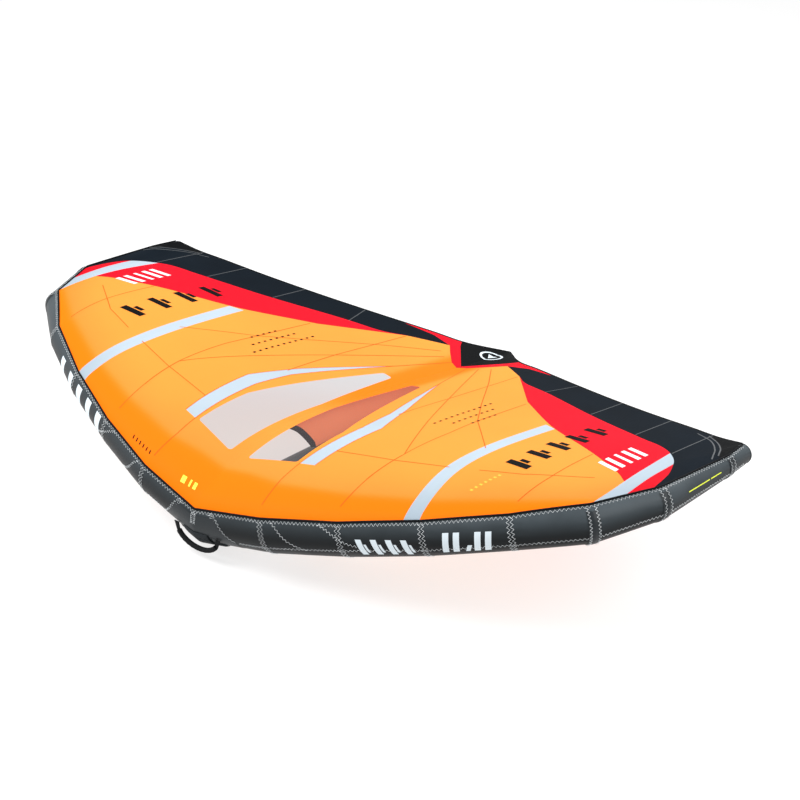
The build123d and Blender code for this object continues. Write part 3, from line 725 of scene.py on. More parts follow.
def rounded(points, radius, steps=6):
    """Closed outline with rounded corners."""
    out, n = [], len(points)
    for i in range(n):
        a, b, c = (np.array(points[k % n], float) for k in (i - 1, i, i + 1))
        d, e = unit(a - b), unit(c - b)
        half = math.acos(np.clip(np.dot(d, e), -1, 1)) / 2
        cut = radius / math.tan(half)
        centre = b + unit(d + e) * radius / math.sin(half)
        p, q = b + d * cut - centre, b + e * cut - centre
        a0 = math.atan2(p[1], p[0])
        sweep = (math.atan2(q[1], q[0]) - a0 + math.pi) % (2 * math.pi) - math.pi
        for k in range(steps + 1):
            t = a0 + sweep * k / steps
            out.append((centre[0] + radius * math.cos(t), centre[1] + radius * math.sin(t)))
    return out


def hem_line(inset):
    us = np.linspace(0, 9, 140)
    te = RIB_END(us)
    return [(p[0], p[1] - inset) for p in te]


def panel_cuts():
    band = [BAND_FRONT[0], *curve(BAND_FRONT[1:])]
    red = [RED_FRONT[0], *curve(RED_FRONT[1:])]
    stripe = curve(OUTER_STRIPE_INNER) + curve(OUTER_STRIPE_OUTER)
    tip = curve(TIP_STRIPE_INNER) + curve(TIP_STRIPE_OUTER)
    return [
        ("window", rounded(WINDOW, 13)),
        ("te_hem", [*hem_line(HEM_WIDTH), (1500, 1290), (1500, FAR), (0, FAR)]),
        ("te_patch", [*TE_PATCH, (150, FAR), (0, FAR)]),
        ("te_patch_trim", [*TRIM, (380, FAR), (0, FAR)]),
        ("tip_patches", [*curve(TIP_PATCH), (1520, 1120), (1520, FAR), (1291, FAR)]),
        ("te_band", [*band, (1520, 740), (1520, FAR), (152, FAR)]),
        ("outer_stripes", stripe),
        ("tip_stripes", tip),
        ("flank_stripes", FLANK_OUTER + FLANK_INNER),
        ("red_tip_corners", [(1355, 400), (1355, FAR), (1520, FAR), (1520, 400)]),
        ("red_panel", [*red, (1330, 712), (1330, FAR), (293, FAR)]),
        ("centre_panel", [*CENTRE_SEAM, (0, FAR), (0, -60)]),
        ("inner_panel", [(0, -60), (826, -60), (826, 200), (782, 500), (785, FAR), (0, FAR)]),
        ("outer_panel", [(760, -60), (1600, -60), (1600, FAR), (760, FAR)]),
    ]


def inside(points, polygon):
    x, y = points[:, 0], points[:, 1]
    result = np.zeros(len(points), bool)
    px, py = np.array(polygon, float).T
    j = len(px) - 1
    for i in range(len(px)):
        cross = (py[i] > y) != (py[j] > y)
        with np.errstate(divide="ignore", invalid="ignore"):
            at = (px[j] - px[i]) * (y - py[i]) / (py[j] - py[i]) + px[i]
        result ^= cross & (x < at)
        j = i
    return result


def canopy_outline():
    us = np.linspace(0, 9, 220)
    front = wrap_point(us, np.zeros(len(us)))[:, :2]
    rear = RIB_END(us)[:, :2]
    front[0, 0] = rear[0, 0] = 0.0
    centre = np.array([(0.0, y) for y in np.linspace(front[0, 1], rear[0, 1], 150)])[1:-1]
    tip = resample([front[-1], rear[-1]], 6)[1:-1]
    return np.vstack([front, tip, rear[::-1], centre[::-1]])


def build_canopy():
    outline = canopy_outline()
    cuts = panel_cuts()
    n = len(outline)
    verts = [tuple(p) for p in outline]
    edges = [(i, (i + 1) % n) for i in range(n)]
    for _, polygon in cuts:
        line = resample([*polygon, polygon[0]], 11)
        start = len(verts)
        verts += [tuple(p) for p in line]
        edges += [(start + i, start + i + 1) for i in range(len(line) - 1)]
    fixed = KDTree(len(verts))
    for i, p in enumerate(verts):
        fixed.insert(Vector((p[0], p[1], 0)), i)
    fixed.balance()
    pitch = 15.0
    extra = []
    for j, y in enumerate(np.arange(4, 1880, pitch * 0.87)):
        for x in np.arange(6 + (j % 2) * pitch / 2, 1450, pitch):
            extra.append((x, y))
    for f in (0.2, 0.4, 0.6, 0.8, 1.0):
        us = np.linspace(0.01, 8.99, 200)
        extra += [tuple(p) for p in wrap_point(us, np.full(len(us), f))[:, :2]]
    extra = np.array(extra)
    extra = extra[inside(extra, outline)]
    for x, y in extra:
        if fixed.find(Vector((x, y, 0)))[2] > 6.5:
            verts.append((x, y))
    result = delaunay_2d_cdt([Vector(p) for p in verts], edges, [], 0, 0.05)
    xy = np.array([tuple(p) for p in result[0]])
    tris = np.array([f for f in result[2] if len(f) == 3])
    middle = xy[tris].mean(axis=1)
    keep = inside(middle, outline)
    tris, middle = tris[keep], middle[keep]
    label = np.full(len(tris), -1)
    for k, (_, polygon) in enumerate(cuts):
        label[(label < 0) & inside(middle, polygon)] = k
    pts, nrm = lift_to_canopy(xy)
    return cuts, tris, label, pts, nrm


CUTS, TRIS, LABEL, CANOPY, CANOPY_NORMAL = build_canopy()


def behind_axis(p):
    """Plan distance of each point from the tube's axis, positive towards the trailing edge."""
    nearest = np.full(len(p), 1e9)
    out = np.zeros(len(p))
    for k in range(8):
        a, d = RINGS[k][0][:2], (RINGS[k + 1][0] - RINGS[k][0])[:2]
        t = np.clip(((p[:, :2] - a) @ d) / (d @ d), 0, 1)
        away = p[:, :2] - a - t[:, None] * d
        gap = np.linalg.norm(away, axis=1)
        rearward = away @ unit((-d[1], d[0]))
        out = np.where(gap < nearest, np.sign(rearward) * gap, out)
        nearest = np.minimum(nearest, gap)
    return out


def painted_shade_share(p):
    """Mask for painted shade, by how far the tube or the strut stands behind a canopy point: 1 against it, 0
    clear of it.
    """
    edge = np.interp(p[:, 0], (0, 120, 270, 540, 1100), (56, 50, 28, 16, 12))
    tube = 1 / (1 + np.exp(np.clip((behind_axis(p) - edge) / 7.0, -60, 60)))
    strut_r = np.interp(p[:, 1], (205, 850, 1250, 1640), (74, 80, 84, 88))
    near = 1 / (1 + np.exp(np.clip((np.abs(p[:, 0]) - strut_r) / 8.0, -60, 60)))
    start = 1 / (1 + np.exp(np.clip((700 - p[:, 1]) / 60.0, -60, 60)))
    return np.maximum(tube, near * start)


PANEL_LOOK = {
    "window": ("film", "window_film"),
    "te_hem": ("patch", "ripstop_black"),
    "te_patch": ("patch", "patch_black"),
    "te_patch_trim": ("red", "ripstop_red"),
    "tip_patches": ("patch", "patch_black"),
    "te_band": ("black", "ripstop_black"),
    "outer_stripes": ("white", "ripstop_white"),
    "tip_stripes": ("white", "ripstop_white"),
    "flank_stripes": ("white", "ripstop_white"),
    "red_tip_corners": ("red", "ripstop_red"),
    "red_panel": ("red", "ripstop_red"),
    "centre_panel": ("orange", "ripstop_orange"),
    "inner_panel": ("orange", "ripstop_orange"),
    "outer_panel": ("orange", "ripstop_orange"),
}
SIDED = ("window", "te_band", "red_panel", "inner_panel", "outer_panel")
JOINED = ("te_patch", "centre_panel")


def panel_meshes():
    """One cloth piece for each canopy node, all on one continuous surface."""
    for k, (name, _) in enumerate(CUTS):
        tris = TRIS[LABEL == k]
        used = np.unique(tris)
        number = {v: i for i, v in enumerate(used)}
        faces = [[number[v] for v in t] for t in tris]
        pts, nrm = CANOPY[used], CANOPY_NORMAL[used]
        a, b, c = (pts[[f[corner] for f in faces]] for corner in range(3))
        turn = np.cross(b - a, c - a)
        faces = [f if t[2] > 0 else f[::-1] for f, t in zip(faces, turn)]
        look, slot = PANEL_LOOK[name]
        right = (row(pts), nrm, faces)
        left = (row(mirrored(pts)), nrm * (-1, 1, 1), [f[::-1] for f in faces])
        if name in SIDED:
            rows = [(f"{name}_right", right), (f"{name}_left", left)]
        else:
            shift = len(pts)
            merged = [[v + shift for v in f] for f in left[2]]
            both = (np.vstack([right[0], left[0]]), np.vstack([right[1], left[1]]), right[2] + merged)
            rows = [(name, both)]
        for node, (v, nn, ff) in rows:
            ob = piece(f"cloth_{node}", v, ff, look, normals=nn, slot=slot)
            if look == "orange":
                # painted shade mask: where the tube or the strut lies behind the cloth
                layer = ob.data.attributes.new("painted_shade", "FLOAT", "POINT")
                share = painted_shade_share(pts)
                layer.data.foreach_set("value", np.resize(share, len(v)))
            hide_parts(node)
            stretched(ob, copies=1 if name in SIDED or name in JOINED else 2)


panel_meshes()


# ---------------------------------------------------------------- canopy seams and prints
def seam_strip(b, line, width, offset=0.5, step=12.0, smooth=False):
    """Thin tape over a seam that runs through plan points, on both halves."""
    for side in (1, -1):
        line_xy = smooth_line(line, step) if smooth else resample(line, step)
        flipped = [(side * x, y) for x, y in line_xy]
        pts, nrm = lift_to_canopy(flipped)
        tangent = np.gradient(pts, axis=0)
        tangent /= np.linalg.norm(tangent, axis=1, keepdims=True)
        across = np.cross(nrm, tangent)
        for lift in (offset, -offset):
            strip = [pts + nrm * lift - across * width / 2, pts + nrm * lift + across * width / 2]
            b.grid(row(np.stack(strip, axis=1)))


SEAMS = [
    [(90, 1527), (414, 797), (565, 471), (554, 283)],
    [(132, 1557), (263, 1365), (436, 1086), (558, 901), (768, 671)],
    [(293, 1521), (293, 1072), (282, 780)],
    [(556, 1211), (558, 901), (568, 720), (565, 471), (555, 283), (552, 150)],
    [(327, 380), (575, 420), (767, 468)],
    [(262, 262), (260, 169), (270, 60)],
    [(1100, 844), (1109, 575), (1106, 400)],
    [(874, 495), (1026, 538), (1223, 673)],
    [(117, 1242), (41, 1516)],
]
BAND_SEAMS = [
    [(508, 1400), (555, 1560)],
    [(816, 1260), (821, 1470)],
    [(1087, 1140), (1090, 1382)],
    [(1296, 1045), (1297, 1325)],
]


TIP_ARCS = [
    [(1245, 1305), (1327, 1260), (1390, 1176), (1429, 1088)],
    [(1291, 1309), (1353, 1259), (1401, 1196), (1430, 1130)],
]


def canopy_seams():
    b = Builder()
    for line in SEAMS:
        seam_strip(b, line, 3.4)
    for line in (FLANK_OUTER, [*reversed(FLANK_INNER), FLANK_OUTER[-1]]):
        seam_strip(b, line, 3.0)
    b.make("canopy_seam_tapes", "seam")
    b = Builder()
    for line in BAND_SEAMS:
        seam_strip(b, line, 4.0)
    for line in TIP_ARCS:
        seam_strip(b, line, 5.0, smooth=True)
    b.make("band_seam_tapes", "dark_seam")


canopy_seams()


# ---------------------------------------------------------------- leading edge
VALVE_X, VALVE_CLOCK, NECK_RADIUS = 200.0, 210.0, 18.2


def open_at_valve(points, faces):
    """Round opening for the valve's neck: inner faces go, and the rest end on the neck's circle."""
    share = VALVE_X / RINGS[1][0][0]
    at, out = tube_point(0, np.array([share]), np.array([VALVE_CLOCK]))
    at, out = mirrored(at)[0], unit(mirrored(out)[0])
    away = points - at
    along = away @ out
    radial = away - along[:, None] * out
    gap = np.linalg.norm(radial, axis=1)
    near = (gap < NECK_RADIUS) & (np.abs(along) < 40)
    push = NECK_RADIUS / np.maximum(gap, 1e-6) - 1
    points = np.where(near[:, None], points + radial * push[:, None], points)
    kept = [f for f in faces if not all(near[v] for v in f)]
    used = np.unique([v for f in kept for v in f])
    number = {v: i for i, v in enumerate(used)}
    return points[used], [[number[v] for v in f] for f in kept]


def tube_panels():
    """Inflated panels between the tube's sewn seams, drawn in a little at each seam."""
    sides = 96
    clocks = np.linspace(0, 360, sides, endpoint=False)
    for n, (first, last) in enumerate(TUBE_PANELS):
        rows = []
        for k in range(first, last):
            a, b = RINGS[k][0], RINGS[k + 1][0]
            steps = max(6, int(np.linalg.norm(b - a) / 14))
            for j in range(steps + (1 if k == last - 1 else 0)):
                s = j / steps
                p, way = tube_point(k, np.full(sides, s), clocks)
                length = np.linalg.norm(b - a)
                from_seam = min(s, 1 - s) * length
                puff = 1.3 * (1 - math.exp(-from_seam / 28.0)) - 1.1
                ripple = np.sin(np.radians(clocks) * 19 + k * 1.7 + s * 5)
                crease = 0.55 * math.exp(-from_seam / 22.0) * ripple
                rows.append(p + way * (puff + crease)[:, None])
        points = np.array(rows).reshape(-1, 3)
        faces = grid_faces(len(rows), sides, closed=True)
        flipped = [f[::-1] for f in faces]
        right = piece(f"tube_right_{n + 1}", row(points), flipped, "dacron", slot="dacron_grey")
        points = mirrored(points)
        if first == 0:
            points, faces = open_at_valve(points, faces)
        left = piece(f"tube_left_{n + 1}", row(points), faces, "dacron", slot="dacron_grey")
        for ob, side in ((right, "right"), (left, "left")):
            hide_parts(f"le_tube_{side}_{n + 1}")


tube_panels()


def units(v):
    """Each row of v at length 1."""
    return v / np.linalg.norm(v, axis=1, keepdims=True)


def zigzag(b, path, normal, half, pitch, thread=0.8, lift=0.5, shift=0.0, both=True):
    """Zigzag stitching along a path on a surface, on both halves of the wing or only this one."""
    run = run_of(path)
    count = max(2, int(run[-1] / (pitch / 2)))
    p = at_even_steps(path, run, count + 1)
    n = units(at_even_steps(normal, run, count + 1))
    across = np.cross(n, units(np.gradient(p, axis=0)))
    sign = np.where(np.arange(count + 1) % 2, 1.0, -1.0)[:, None]
    z = p + across * (shift + sign * half) + n * lift
    b.rod(row(z), thread / 1000, sides=4, normals=n, flat=0.6, caps=False)
    if both:
        b.rod(row(mirrored(z)), thread / 1000, sides=4, normals=mirrored(n), flat=0.6, caps=False)


def seam_clock(u):
    """Clock angle of the canopy's front seam at ring number u."""
    known = [STATIONS[i, 4] for i in TUBE_STATIONS] + [STATIONS[9, 4]]
    return np.interp(u, range(9), known)


def leading_edge_stitches():
    b = Builder()
    for ring in range(0, 5):
        top = seam_clock(ring) - 9
        low = -2 if ring == 0 else -150
        for shift in (-6.4, 6.4):
            path, n = tube_path([ring, ring, ring], [top, (top + low) / 2, low])
            zigzag(b, path, n, 5.2, 16.0, shift=shift)
    for ring, spread in ((5, 15), (6, 13), (7, 12)):
        top = seam_clock(ring) - 12
        for shift in (-spread, spread):
            path, n = tube_path([ring, ring, ring], [top, top - 80, top - 200], lift=1.6)
            zigzag(b, path, n, 4.4, 13.0, shift=shift)
    us = np.linspace(0.0, 7.85, 60)
    path, n = tube_path(us, [seam_clock(u) - 7 - 2.2 * u / 4 for u in us])
    zigzag(b, path, n, 5.2, 15.0)
    rings = [0.62, 1.0, 1.6, 2.1, 3, 4, 5, 6, 7, 7.6]
    path, n = tube_path(rings, [-33, -31, -28, -25, -24, -22, -18, -12, -12, -12])
    zigzag(b, path, n, 4.8, 15.0)
    for shift in (-5.0, 5.0):
        path, n = tube_path([0.24, 0.325, 0.375, 0.425, 0.5, 0.56], [22, 11, 0, -12, -26, -34])
        zigzag(b, path, n, 4.2, 14.0, shift=shift)
    for rings, clocks in (
        ([1.14, 1.2, 1.3, 1.42, 1.55], [24, 15, -6, -21, -31]),
        ([1.75, 1.84, 1.95, 2.07, 2.2], [28, 20, 7, -6, -14]),
    ):
        path, n = tube_path(rings, clocks)
        zigzag(b, path, n, 4.2, 14.0)
    b.make("leading_edge_stitches", "thread")


leading_edge_stitches()


def edge_cord():
    """Dark cord that closes the seam between the canopy and the tube."""
    b = Builder()
    us = np.linspace(0, 7.9, 240)
    path, n = [], []
    for u in us:
        k = min(int(u), 7)
        p, w = tube_point(k, np.array(u - k), np.array(seam_clock(u) - 2.0), 3.2)
        path.append(p)
        n.append(w)
    path, n = np.array(path), np.array(n)
    b.rod(row(path), 0.0036, sides=10, normals=n, flat=0.8)
    b.rod(row(mirrored(path)), 0.0036, sides=10, normals=mirrored(n), flat=0.8)
    ob = b.make("edge_cord", "cord", slot="scuff_band")
    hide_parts("canopy_piping")


edge_cord()


# ---------------------------------------------------------------- printed marks
def ramp_quad(corners, nu, nv):
    """Grid of plan points inside four corners given in order."""
    a, b, c, d = (np.array(p, float) for p in corners)
    u = np.linspace(0, 1, nu)[:, None, None]
    v = np.linspace(0, 1, nv)[None, :, None]
    return (1 - u) * (1 - v) * a + u * (1 - v) * b + u * v * c + (1 - u) * v * d


def canopy_mark(b, corners, side):
    q = ramp_quad(corners, 9, 9)
    pts, nrm = lift_to_canopy((q * (side, 1)).reshape(-1, 2))
    b.grid(row((pts + nrm * 0.9).reshape(9, 9, 3)))


def canopy_bars():
    """Plain slanted bars in place of lettering."""
    dark, pale, lime, amber = Builder(), Builder(), Builder(), Builder()
    for side in (1, -1):
        for i in range(5 if side > 0 else 4):
            y = 575 + i * (118 if side > 0 else 145)
            canopy_mark(dark, [(912, y + 16), (1012, y), (1012, y + 34), (912, y + 50)], side)
            canopy_mark(dark, [(944, y + 52), (984, y + 45), (984, y + 66), (944, y + 73)], side)
        for y, w in ((762, 22), (806, 22), (860, 16), (905, 22), (950, 22)):
            canopy_mark(pale, [(1158, y + 26), (1246, y), (1246, y + w), (1158, y + 26 + w)], side)
        for line in range(3):
            for i in range(11 - 3 * line):
                x, y = 452 + 52 * line, 770 + 46 * line + i * 34
                canopy_mark(dark, [(x, y), (x + 9, y), (x + 9, y + 13), (x, y + 13)], side)
    for i, w in enumerate((18, 10, 26)):
        x = 34 + 27 * i
        canopy_mark(lime, [(x, 34), (x + 5, 56), (x + 5 + w * 0.8, 56), (x + w * 0.8, 34)], -1)
    for i in range(6):
        x, y = 292 + 22 * i, 58 + 4.5 * i
        canopy_mark(dark, [(x, y), (x + 3, y + 11), (x + 8, y + 12), (x + 5, y)], -1)
    for i in range(7):
        x, y = 925 + 5 * i, 375 + 19 * i
        canopy_mark(amber, [(x, y), (x + 12, y), (x + 12, y + 9), (x, y + 9)], 1)
    amber.make("amber_marks", "print_amber")
    return dark, pale, lime


def tube_mark(b, u0, u1, high, low, side, slant=0.0):
    rows = []
    for s in np.linspace(0, 1, 10):
        c = np.linspace(high, low, 12)
        k = min(int(u0), 7)
        share = u0 - k + (u1 - u0) * s + slant * np.linspace(0, 1, 12)
        p, way = tube_point(k, share, c)
        rows.append(p + way * 0.55)
    rows = np.array(rows) * (side, 1, 1)
    b.grid(row(rows if side > 0 else rows[::-1]))


def printed_marks():
    dark, pale, lime = canopy_bars()
    for i in range(4):
        tube_mark(pale, 2.2 + 0.18 * i, 2.27 + 0.18 * i, 3, -38, 1, 0.04)
        tube_mark(pale, 2.29 + 0.18 * i, 2.32 + 0.18 * i, -8, -30, 1, 0.03)
    for u in (3.24, 3.36, 3.60, 3.72):
        tube_mark(pale, u, u + 0.07, 18, -34, 1, -0.04)
    tube_mark(pale, 3.50, 3.55, -14, -34, 1, -0.04)
    for u in (2.12, 2.42, 2.72, 3.02, 3.36):
        tube_mark(pale, u, u + 0.13, 26, -20, -1)
    tube_mark(lime, 6.30, 6.62, 22, 18, 1)
    tube_mark(lime, 6.64, 6.80, 22, 18, 1)
    dark.make("dark_marks", "print_black")
    pale.make("pale_marks", "print_white")
    lime.make("lime_marks", "print_lime")


BADGE_Y = 1735


def badge():
    """Round plain badge on the trailing edge patch: a ring around a triangle."""
    pale = Builder()
    a = np.linspace(0, 2 * np.pi, 49)
    rings = []
    for r in (40, 45, 50):
        pts, nrm = lift_to_canopy(np.column_stack([r * np.cos(a), BADGE_Y + r * np.sin(a)]))
        rings.append(pts + nrm * 0.9)
    pale.grid(row(np.stack(rings, axis=0)))
    for side in (1, -1):
        y = BADGE_Y
        canopy_mark(pale, [(0.5, y - 22), (24, y + 14), (12, y + 14), (0.5, y + 14)], side)
    pale.make("badge", "print_white")


printed_marks()
badge()


# ---------------------------------------------------------------- sewn bands on the tube
def tube_strip(u0, u1, clocks, lift, steps=6):
    """Rows of points on the tube between two ring numbers, the same clock angles at each."""
    rows = []
    for u in np.linspace(u0, u1, steps):
        k = min(int(u + 1e-9), 7)
        p, way = tube_point(k, np.full(len(clocks), u - k), clocks)
        rows.append(p + way * lift)
    return np.array(rows)


def run_length(k):
    return np.linalg.norm(RINGS[k + 1][0] - RINGS[k][0])


def seam_guards():
    b = Builder()
    for k, top in ((5, 58), (6, 62), (7, 50)):
        clocks = np.linspace(top - 2, -150, 60)
        before = tube_strip(k - 20 / run_length(k - 1), k - 1e-6, clocks, 1.3, 4)
        after = tube_strip(k, k + 20 / run_length(k), clocks, 1.3, 4)
        strip = np.vstack([before, after])
        b.grid(row(strip))
        b.grid(row(mirrored(strip[::-1])))
    ob = b.make("scuff_bands", "band", slot="scuff_band")
    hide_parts("seam_guard_bands")


def centre_patch():
    clocks = np.linspace(14, -96, 56)
    shares = np.interp(clocks, [-96, -36, -26, -12, 0, 14], [0.58, 0.58, 0.50, 0.425, 0.375, 0.32])
    b = Builder()
    rows = []
    for c, s in zip(clocks, shares):
        p, way = tube_point(0, np.linspace(0, s, 16), np.full(16, c))
        rows.append(p + way * 1.0)
    rows = np.array(rows)
    whole = np.concatenate([mirrored(rows)[:, ::-1][:, :-1], rows], axis=1)
    b.grid(row(whole[::-1]))
    ob = b.make("front_patch", "band", slot="scuff_band")
    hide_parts("le_centre_patch")
    stretched(ob)


def loop_pad():
    """Stitched pad behind the loop handle, notched around the handle's tabs."""
    n_u, n_v = 28, 44
    reach, notch_reach, notch_clock = 0.36, 0.2, -50
    per_share, per_degree = 280, 2.0  # about how many mm on the tube
    cut = int(n_u * notch_reach / reach)
    rows = []
    for i in range(n_u + 1):
        s = reach * i / n_u
        low, high = -76 + 12 * s / reach, -20 - 8 * s / reach
        v = np.linspace(0, 1, n_v + 1)
        below = low + (notch_clock - low) * v / 0.5
        above = notch_clock + (high - notch_clock) * (v - 0.5) / 0.5
        clocks = np.where(v <= 0.5, below, above)
        p, way = tube_point(0, np.full(n_v + 1, s), clocks)
        rows.append((p, way, clocks, np.full(n_v + 1, s), low, high))
    pts = np.array([r[0] for r in rows])
    way = np.array([r[1] for r in rows])
    clock = np.array([r[2] for r in rows])
    share = np.array([r[3] for r in rows])
    low = np.array([r[4] for r in rows])[:, None]
    high = np.array([r[5] for r in rows])[:, None]
    side = (np.where(clock > notch_clock, notch_reach, reach) - share) * per_share
    past = (notch_clock - clock) * per_degree
    corner = np.hypot((notch_reach - share) * per_share, np.maximum(0, past))
    notch = np.maximum(np.where(share < notch_reach, corner, past), 0)
    edge = np.minimum.reduce([(clock - low) * per_degree, (high - clock) * per_degree, side, notch])
    edge = np.maximum(edge, 0)
    seam = sum(np.exp(-(((clock - at) * per_degree / 3.0) ** 2)) for at in (-36, -62))
    lift = 1.7 + 5.0 * (1 - np.exp(-edge / 3.5)) * (1 - 0.35 * seam)
    top = pts + way * lift[..., None]
    faces = []
    for i in range(n_u):
        for j in range(n_v):
            if i >= cut and j >= n_v // 2:
                continue
            a = i * (n_v + 1) + j
            faces.append((a, a + 1, a + n_v + 2, a + n_v + 1))
    verts = list(top.reshape(-1, 3))
    left = [v * (-1, 1, 1) for v in verts]
    shift = len(verts)
    both = faces + [tuple(shift + v for v in f[::-1]) for f in faces]
    ob = piece("front_pad", row(verts + left), both, "pad", slot="foam_pad")
    mod = ob.modifiers.new("back", "SOLIDIFY")
    mod.thickness = 0.0012
    mod.offset = -1
    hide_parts("loop_handle_pad")


def tip_caps():
    """Gathered cloth dome over each end of the tube."""
    centre, inward, up, _ = RINGS[8]
    along = station_frame(9)[0]
    radius, height = 39.6, 24.0
    ball = (radius**2 + height**2) / (2 * height)
    b = Builder()
    a = np.linspace(0, 2 * np.pi, 96, endpoint=False)
    rows = []
    for phi in np.linspace(math.asin(radius / ball), 0.03, 16):
        r = ball * math.sin(phi) * (1 - 0.012 * (1 + np.cos(8 * a)) * math.sin(3 * phi))
        h = height - ball + ball * math.cos(phi)
        rows.append(
            centre + h * along + r[:, None] * (np.cos(a)[:, None] * inward + np.sin(a)[:, None] * up)
        )
    rows = np.array(rows)
    b.grid(row(rows), closed=True)
    b.grid(row(mirrored(rows[::-1])), closed=True)
    ob = b.make("tip_domes", "dacron", slot="dacron_grey")
    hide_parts("le_tip_caps")
    stretched(ob, copies=2)


seam_guards()
centre_patch()
loop_pad()
tip_caps()


# ---------------------------------------------------------------- strut and fin
# y | height of the axis | radius
STRUT_ROWS = ((205, -50, 56), (850, -50, 56), (1250, -30, 48), (1640, -10, 36))
STRUT_JOINS = (850, 1250)
STRUT_END = 1640
STRUT_GIRTHS = (0.352, 0.352, 0.302)


def strut_at(y):
    ys, zs, rs = zip(*STRUT_ROWS)
    return np.interp(y, ys, zs), np.interp(y, ys, rs)


def tube_rear(x, z):
    """Where the leading edge tube's rear surface lies at a height, near the middle."""
    (c0, _, _, r0), (c1, _, _, r1) = RINGS[0], RINGS[1]
    s = abs(x) / c1[0]
    cy, cz, r = c0[1] + s * (c1[1] - c0[1]), c0[2] + s * (c1[2] - c0[2]), r0 + s * (r1 - r0)
    return cy + math.sqrt(max(0.0, (r + 0.6) ** 2 - (z - cz) ** 2))


def strut_points(y, a, grow=0.0):
    z, r = strut_at(y)
    return np.column_stack([(r + grow) * np.cos(a), y, z + (r + grow) * np.sin(a)])


def strut_root(a):
    """Where the strut meets the leading edge tube, at each angle around the strut."""
    _, z, r = STRUT_ROWS[0]
    return np.array([tube_rear(r * math.cos(t), z + r * math.sin(t)) for t in a])


def strut_outward(path, y):
    """Direction from the strut's axis at y to each point of a path around it."""
    return path * (1, 0, 1) - (0, 0, strut_at(y)[0])


def strut_panels():
    """The strut's sewn panels, drawn in a little at each join."""
    sides = 80
    a = np.linspace(0, 2 * np.pi, sides, endpoint=False)
    first = strut_root(a)
    ends = (first, *STRUT_JOINS, STRUT_END)
    for n, (start, stop, girth) in enumerate(zip(ends, ends[1:], STRUT_GIRTHS)):
        b = Builder()
        rows = []
        for t in np.linspace(0, 1, 44):
            y = start + (stop - start) * t * np.ones(sides)
            near = np.minimum.reduce([*(abs(y - join) for join in STRUT_JOINS), y - first + 6])
            puff = -0.9 * np.exp(-near / 22) + 0.45 * np.exp(-near / 26) * np.sin(17 * a + y / 160)
            rows.append(strut_points(y, a, puff))
        b.grid(row(np.array(rows)[:, ::-1]), closed=True)
        ob = b.make(f"strut_tube_{n + 1}", "dacron", slot="dacron_grey")
        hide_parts("strut_sleeve")


def strut_stitches():
    b = Builder()
    for y in STRUT_JOINS:
        ring = np.linspace(0, 2 * np.pi, 90)
        for shift in (-4, 4):
            path = strut_points(np.full(90, y + shift), ring, 0.2)
            zigzag_single(b, path, strut_outward(path, y), 2.4, 9)
    ring = np.linspace(0, 2 * np.pi, 120)
    root = strut_points(strut_root(ring) + 9, ring, 0.2)
    zigzag_single(b, root, root - (0, 300, -50), 2.2, 8)
    low_seam = -1.75
    path = strut_points(np.linspace(240, 1560, 120), np.full(120, low_seam), 0.2)
    zigzag_single(b, path, np.tile((math.cos(low_seam), 0, math.sin(low_seam)), (120, 1)), 2.0, 9)
    b.make("strut_stitches", "thread")


def zigzag_single(b, path, normal, half, pitch, thread=0.7, lift=0.4):
    """Zigzag stitching on one half only, with normals of any length."""
    zigzag(b, path, units(np.asarray(normal, float)), half, pitch, thread, lift, both=False)


def strut_end():
    sides = 80
    a = np.linspace(0, 2 * np.pi, sides, endpoint=False)
    rows = []
    for y in np.linspace(1570, 1640, 12):
        grow = 1.5 if y > 1571 else 0.5
        rows.append(strut_points(np.full(sides, y), a, grow))
    radius, height = 37.5, 20.0
    ball = (radius**2 + height**2) / (2 * height)
    for phi in np.linspace(math.asin(radius / ball), 0.03, 14)[1:]:
        r = ball * math.sin(phi) * (1 - 0.012 * (1 + np.cos(10 * a)) * math.sin(3 * phi))
        y = 1640 + height - ball + ball * math.cos(phi)
        rows.append(np.column_stack([r * np.cos(a), np.full(sides, y), -10 + r * np.sin(a)]))
    b = Builder()
    b.grid(row(np.array(rows)[:, ::-1]), closed=True)
    ob = b.make("strut_end_cap", "patch", slot="dacron_grey")
    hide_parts("strut_end_patch")


FIN_FRONT = ((488, 136), (527, 109), (560, 76), (589, 42), (612, 12))
FIN_END = 1560


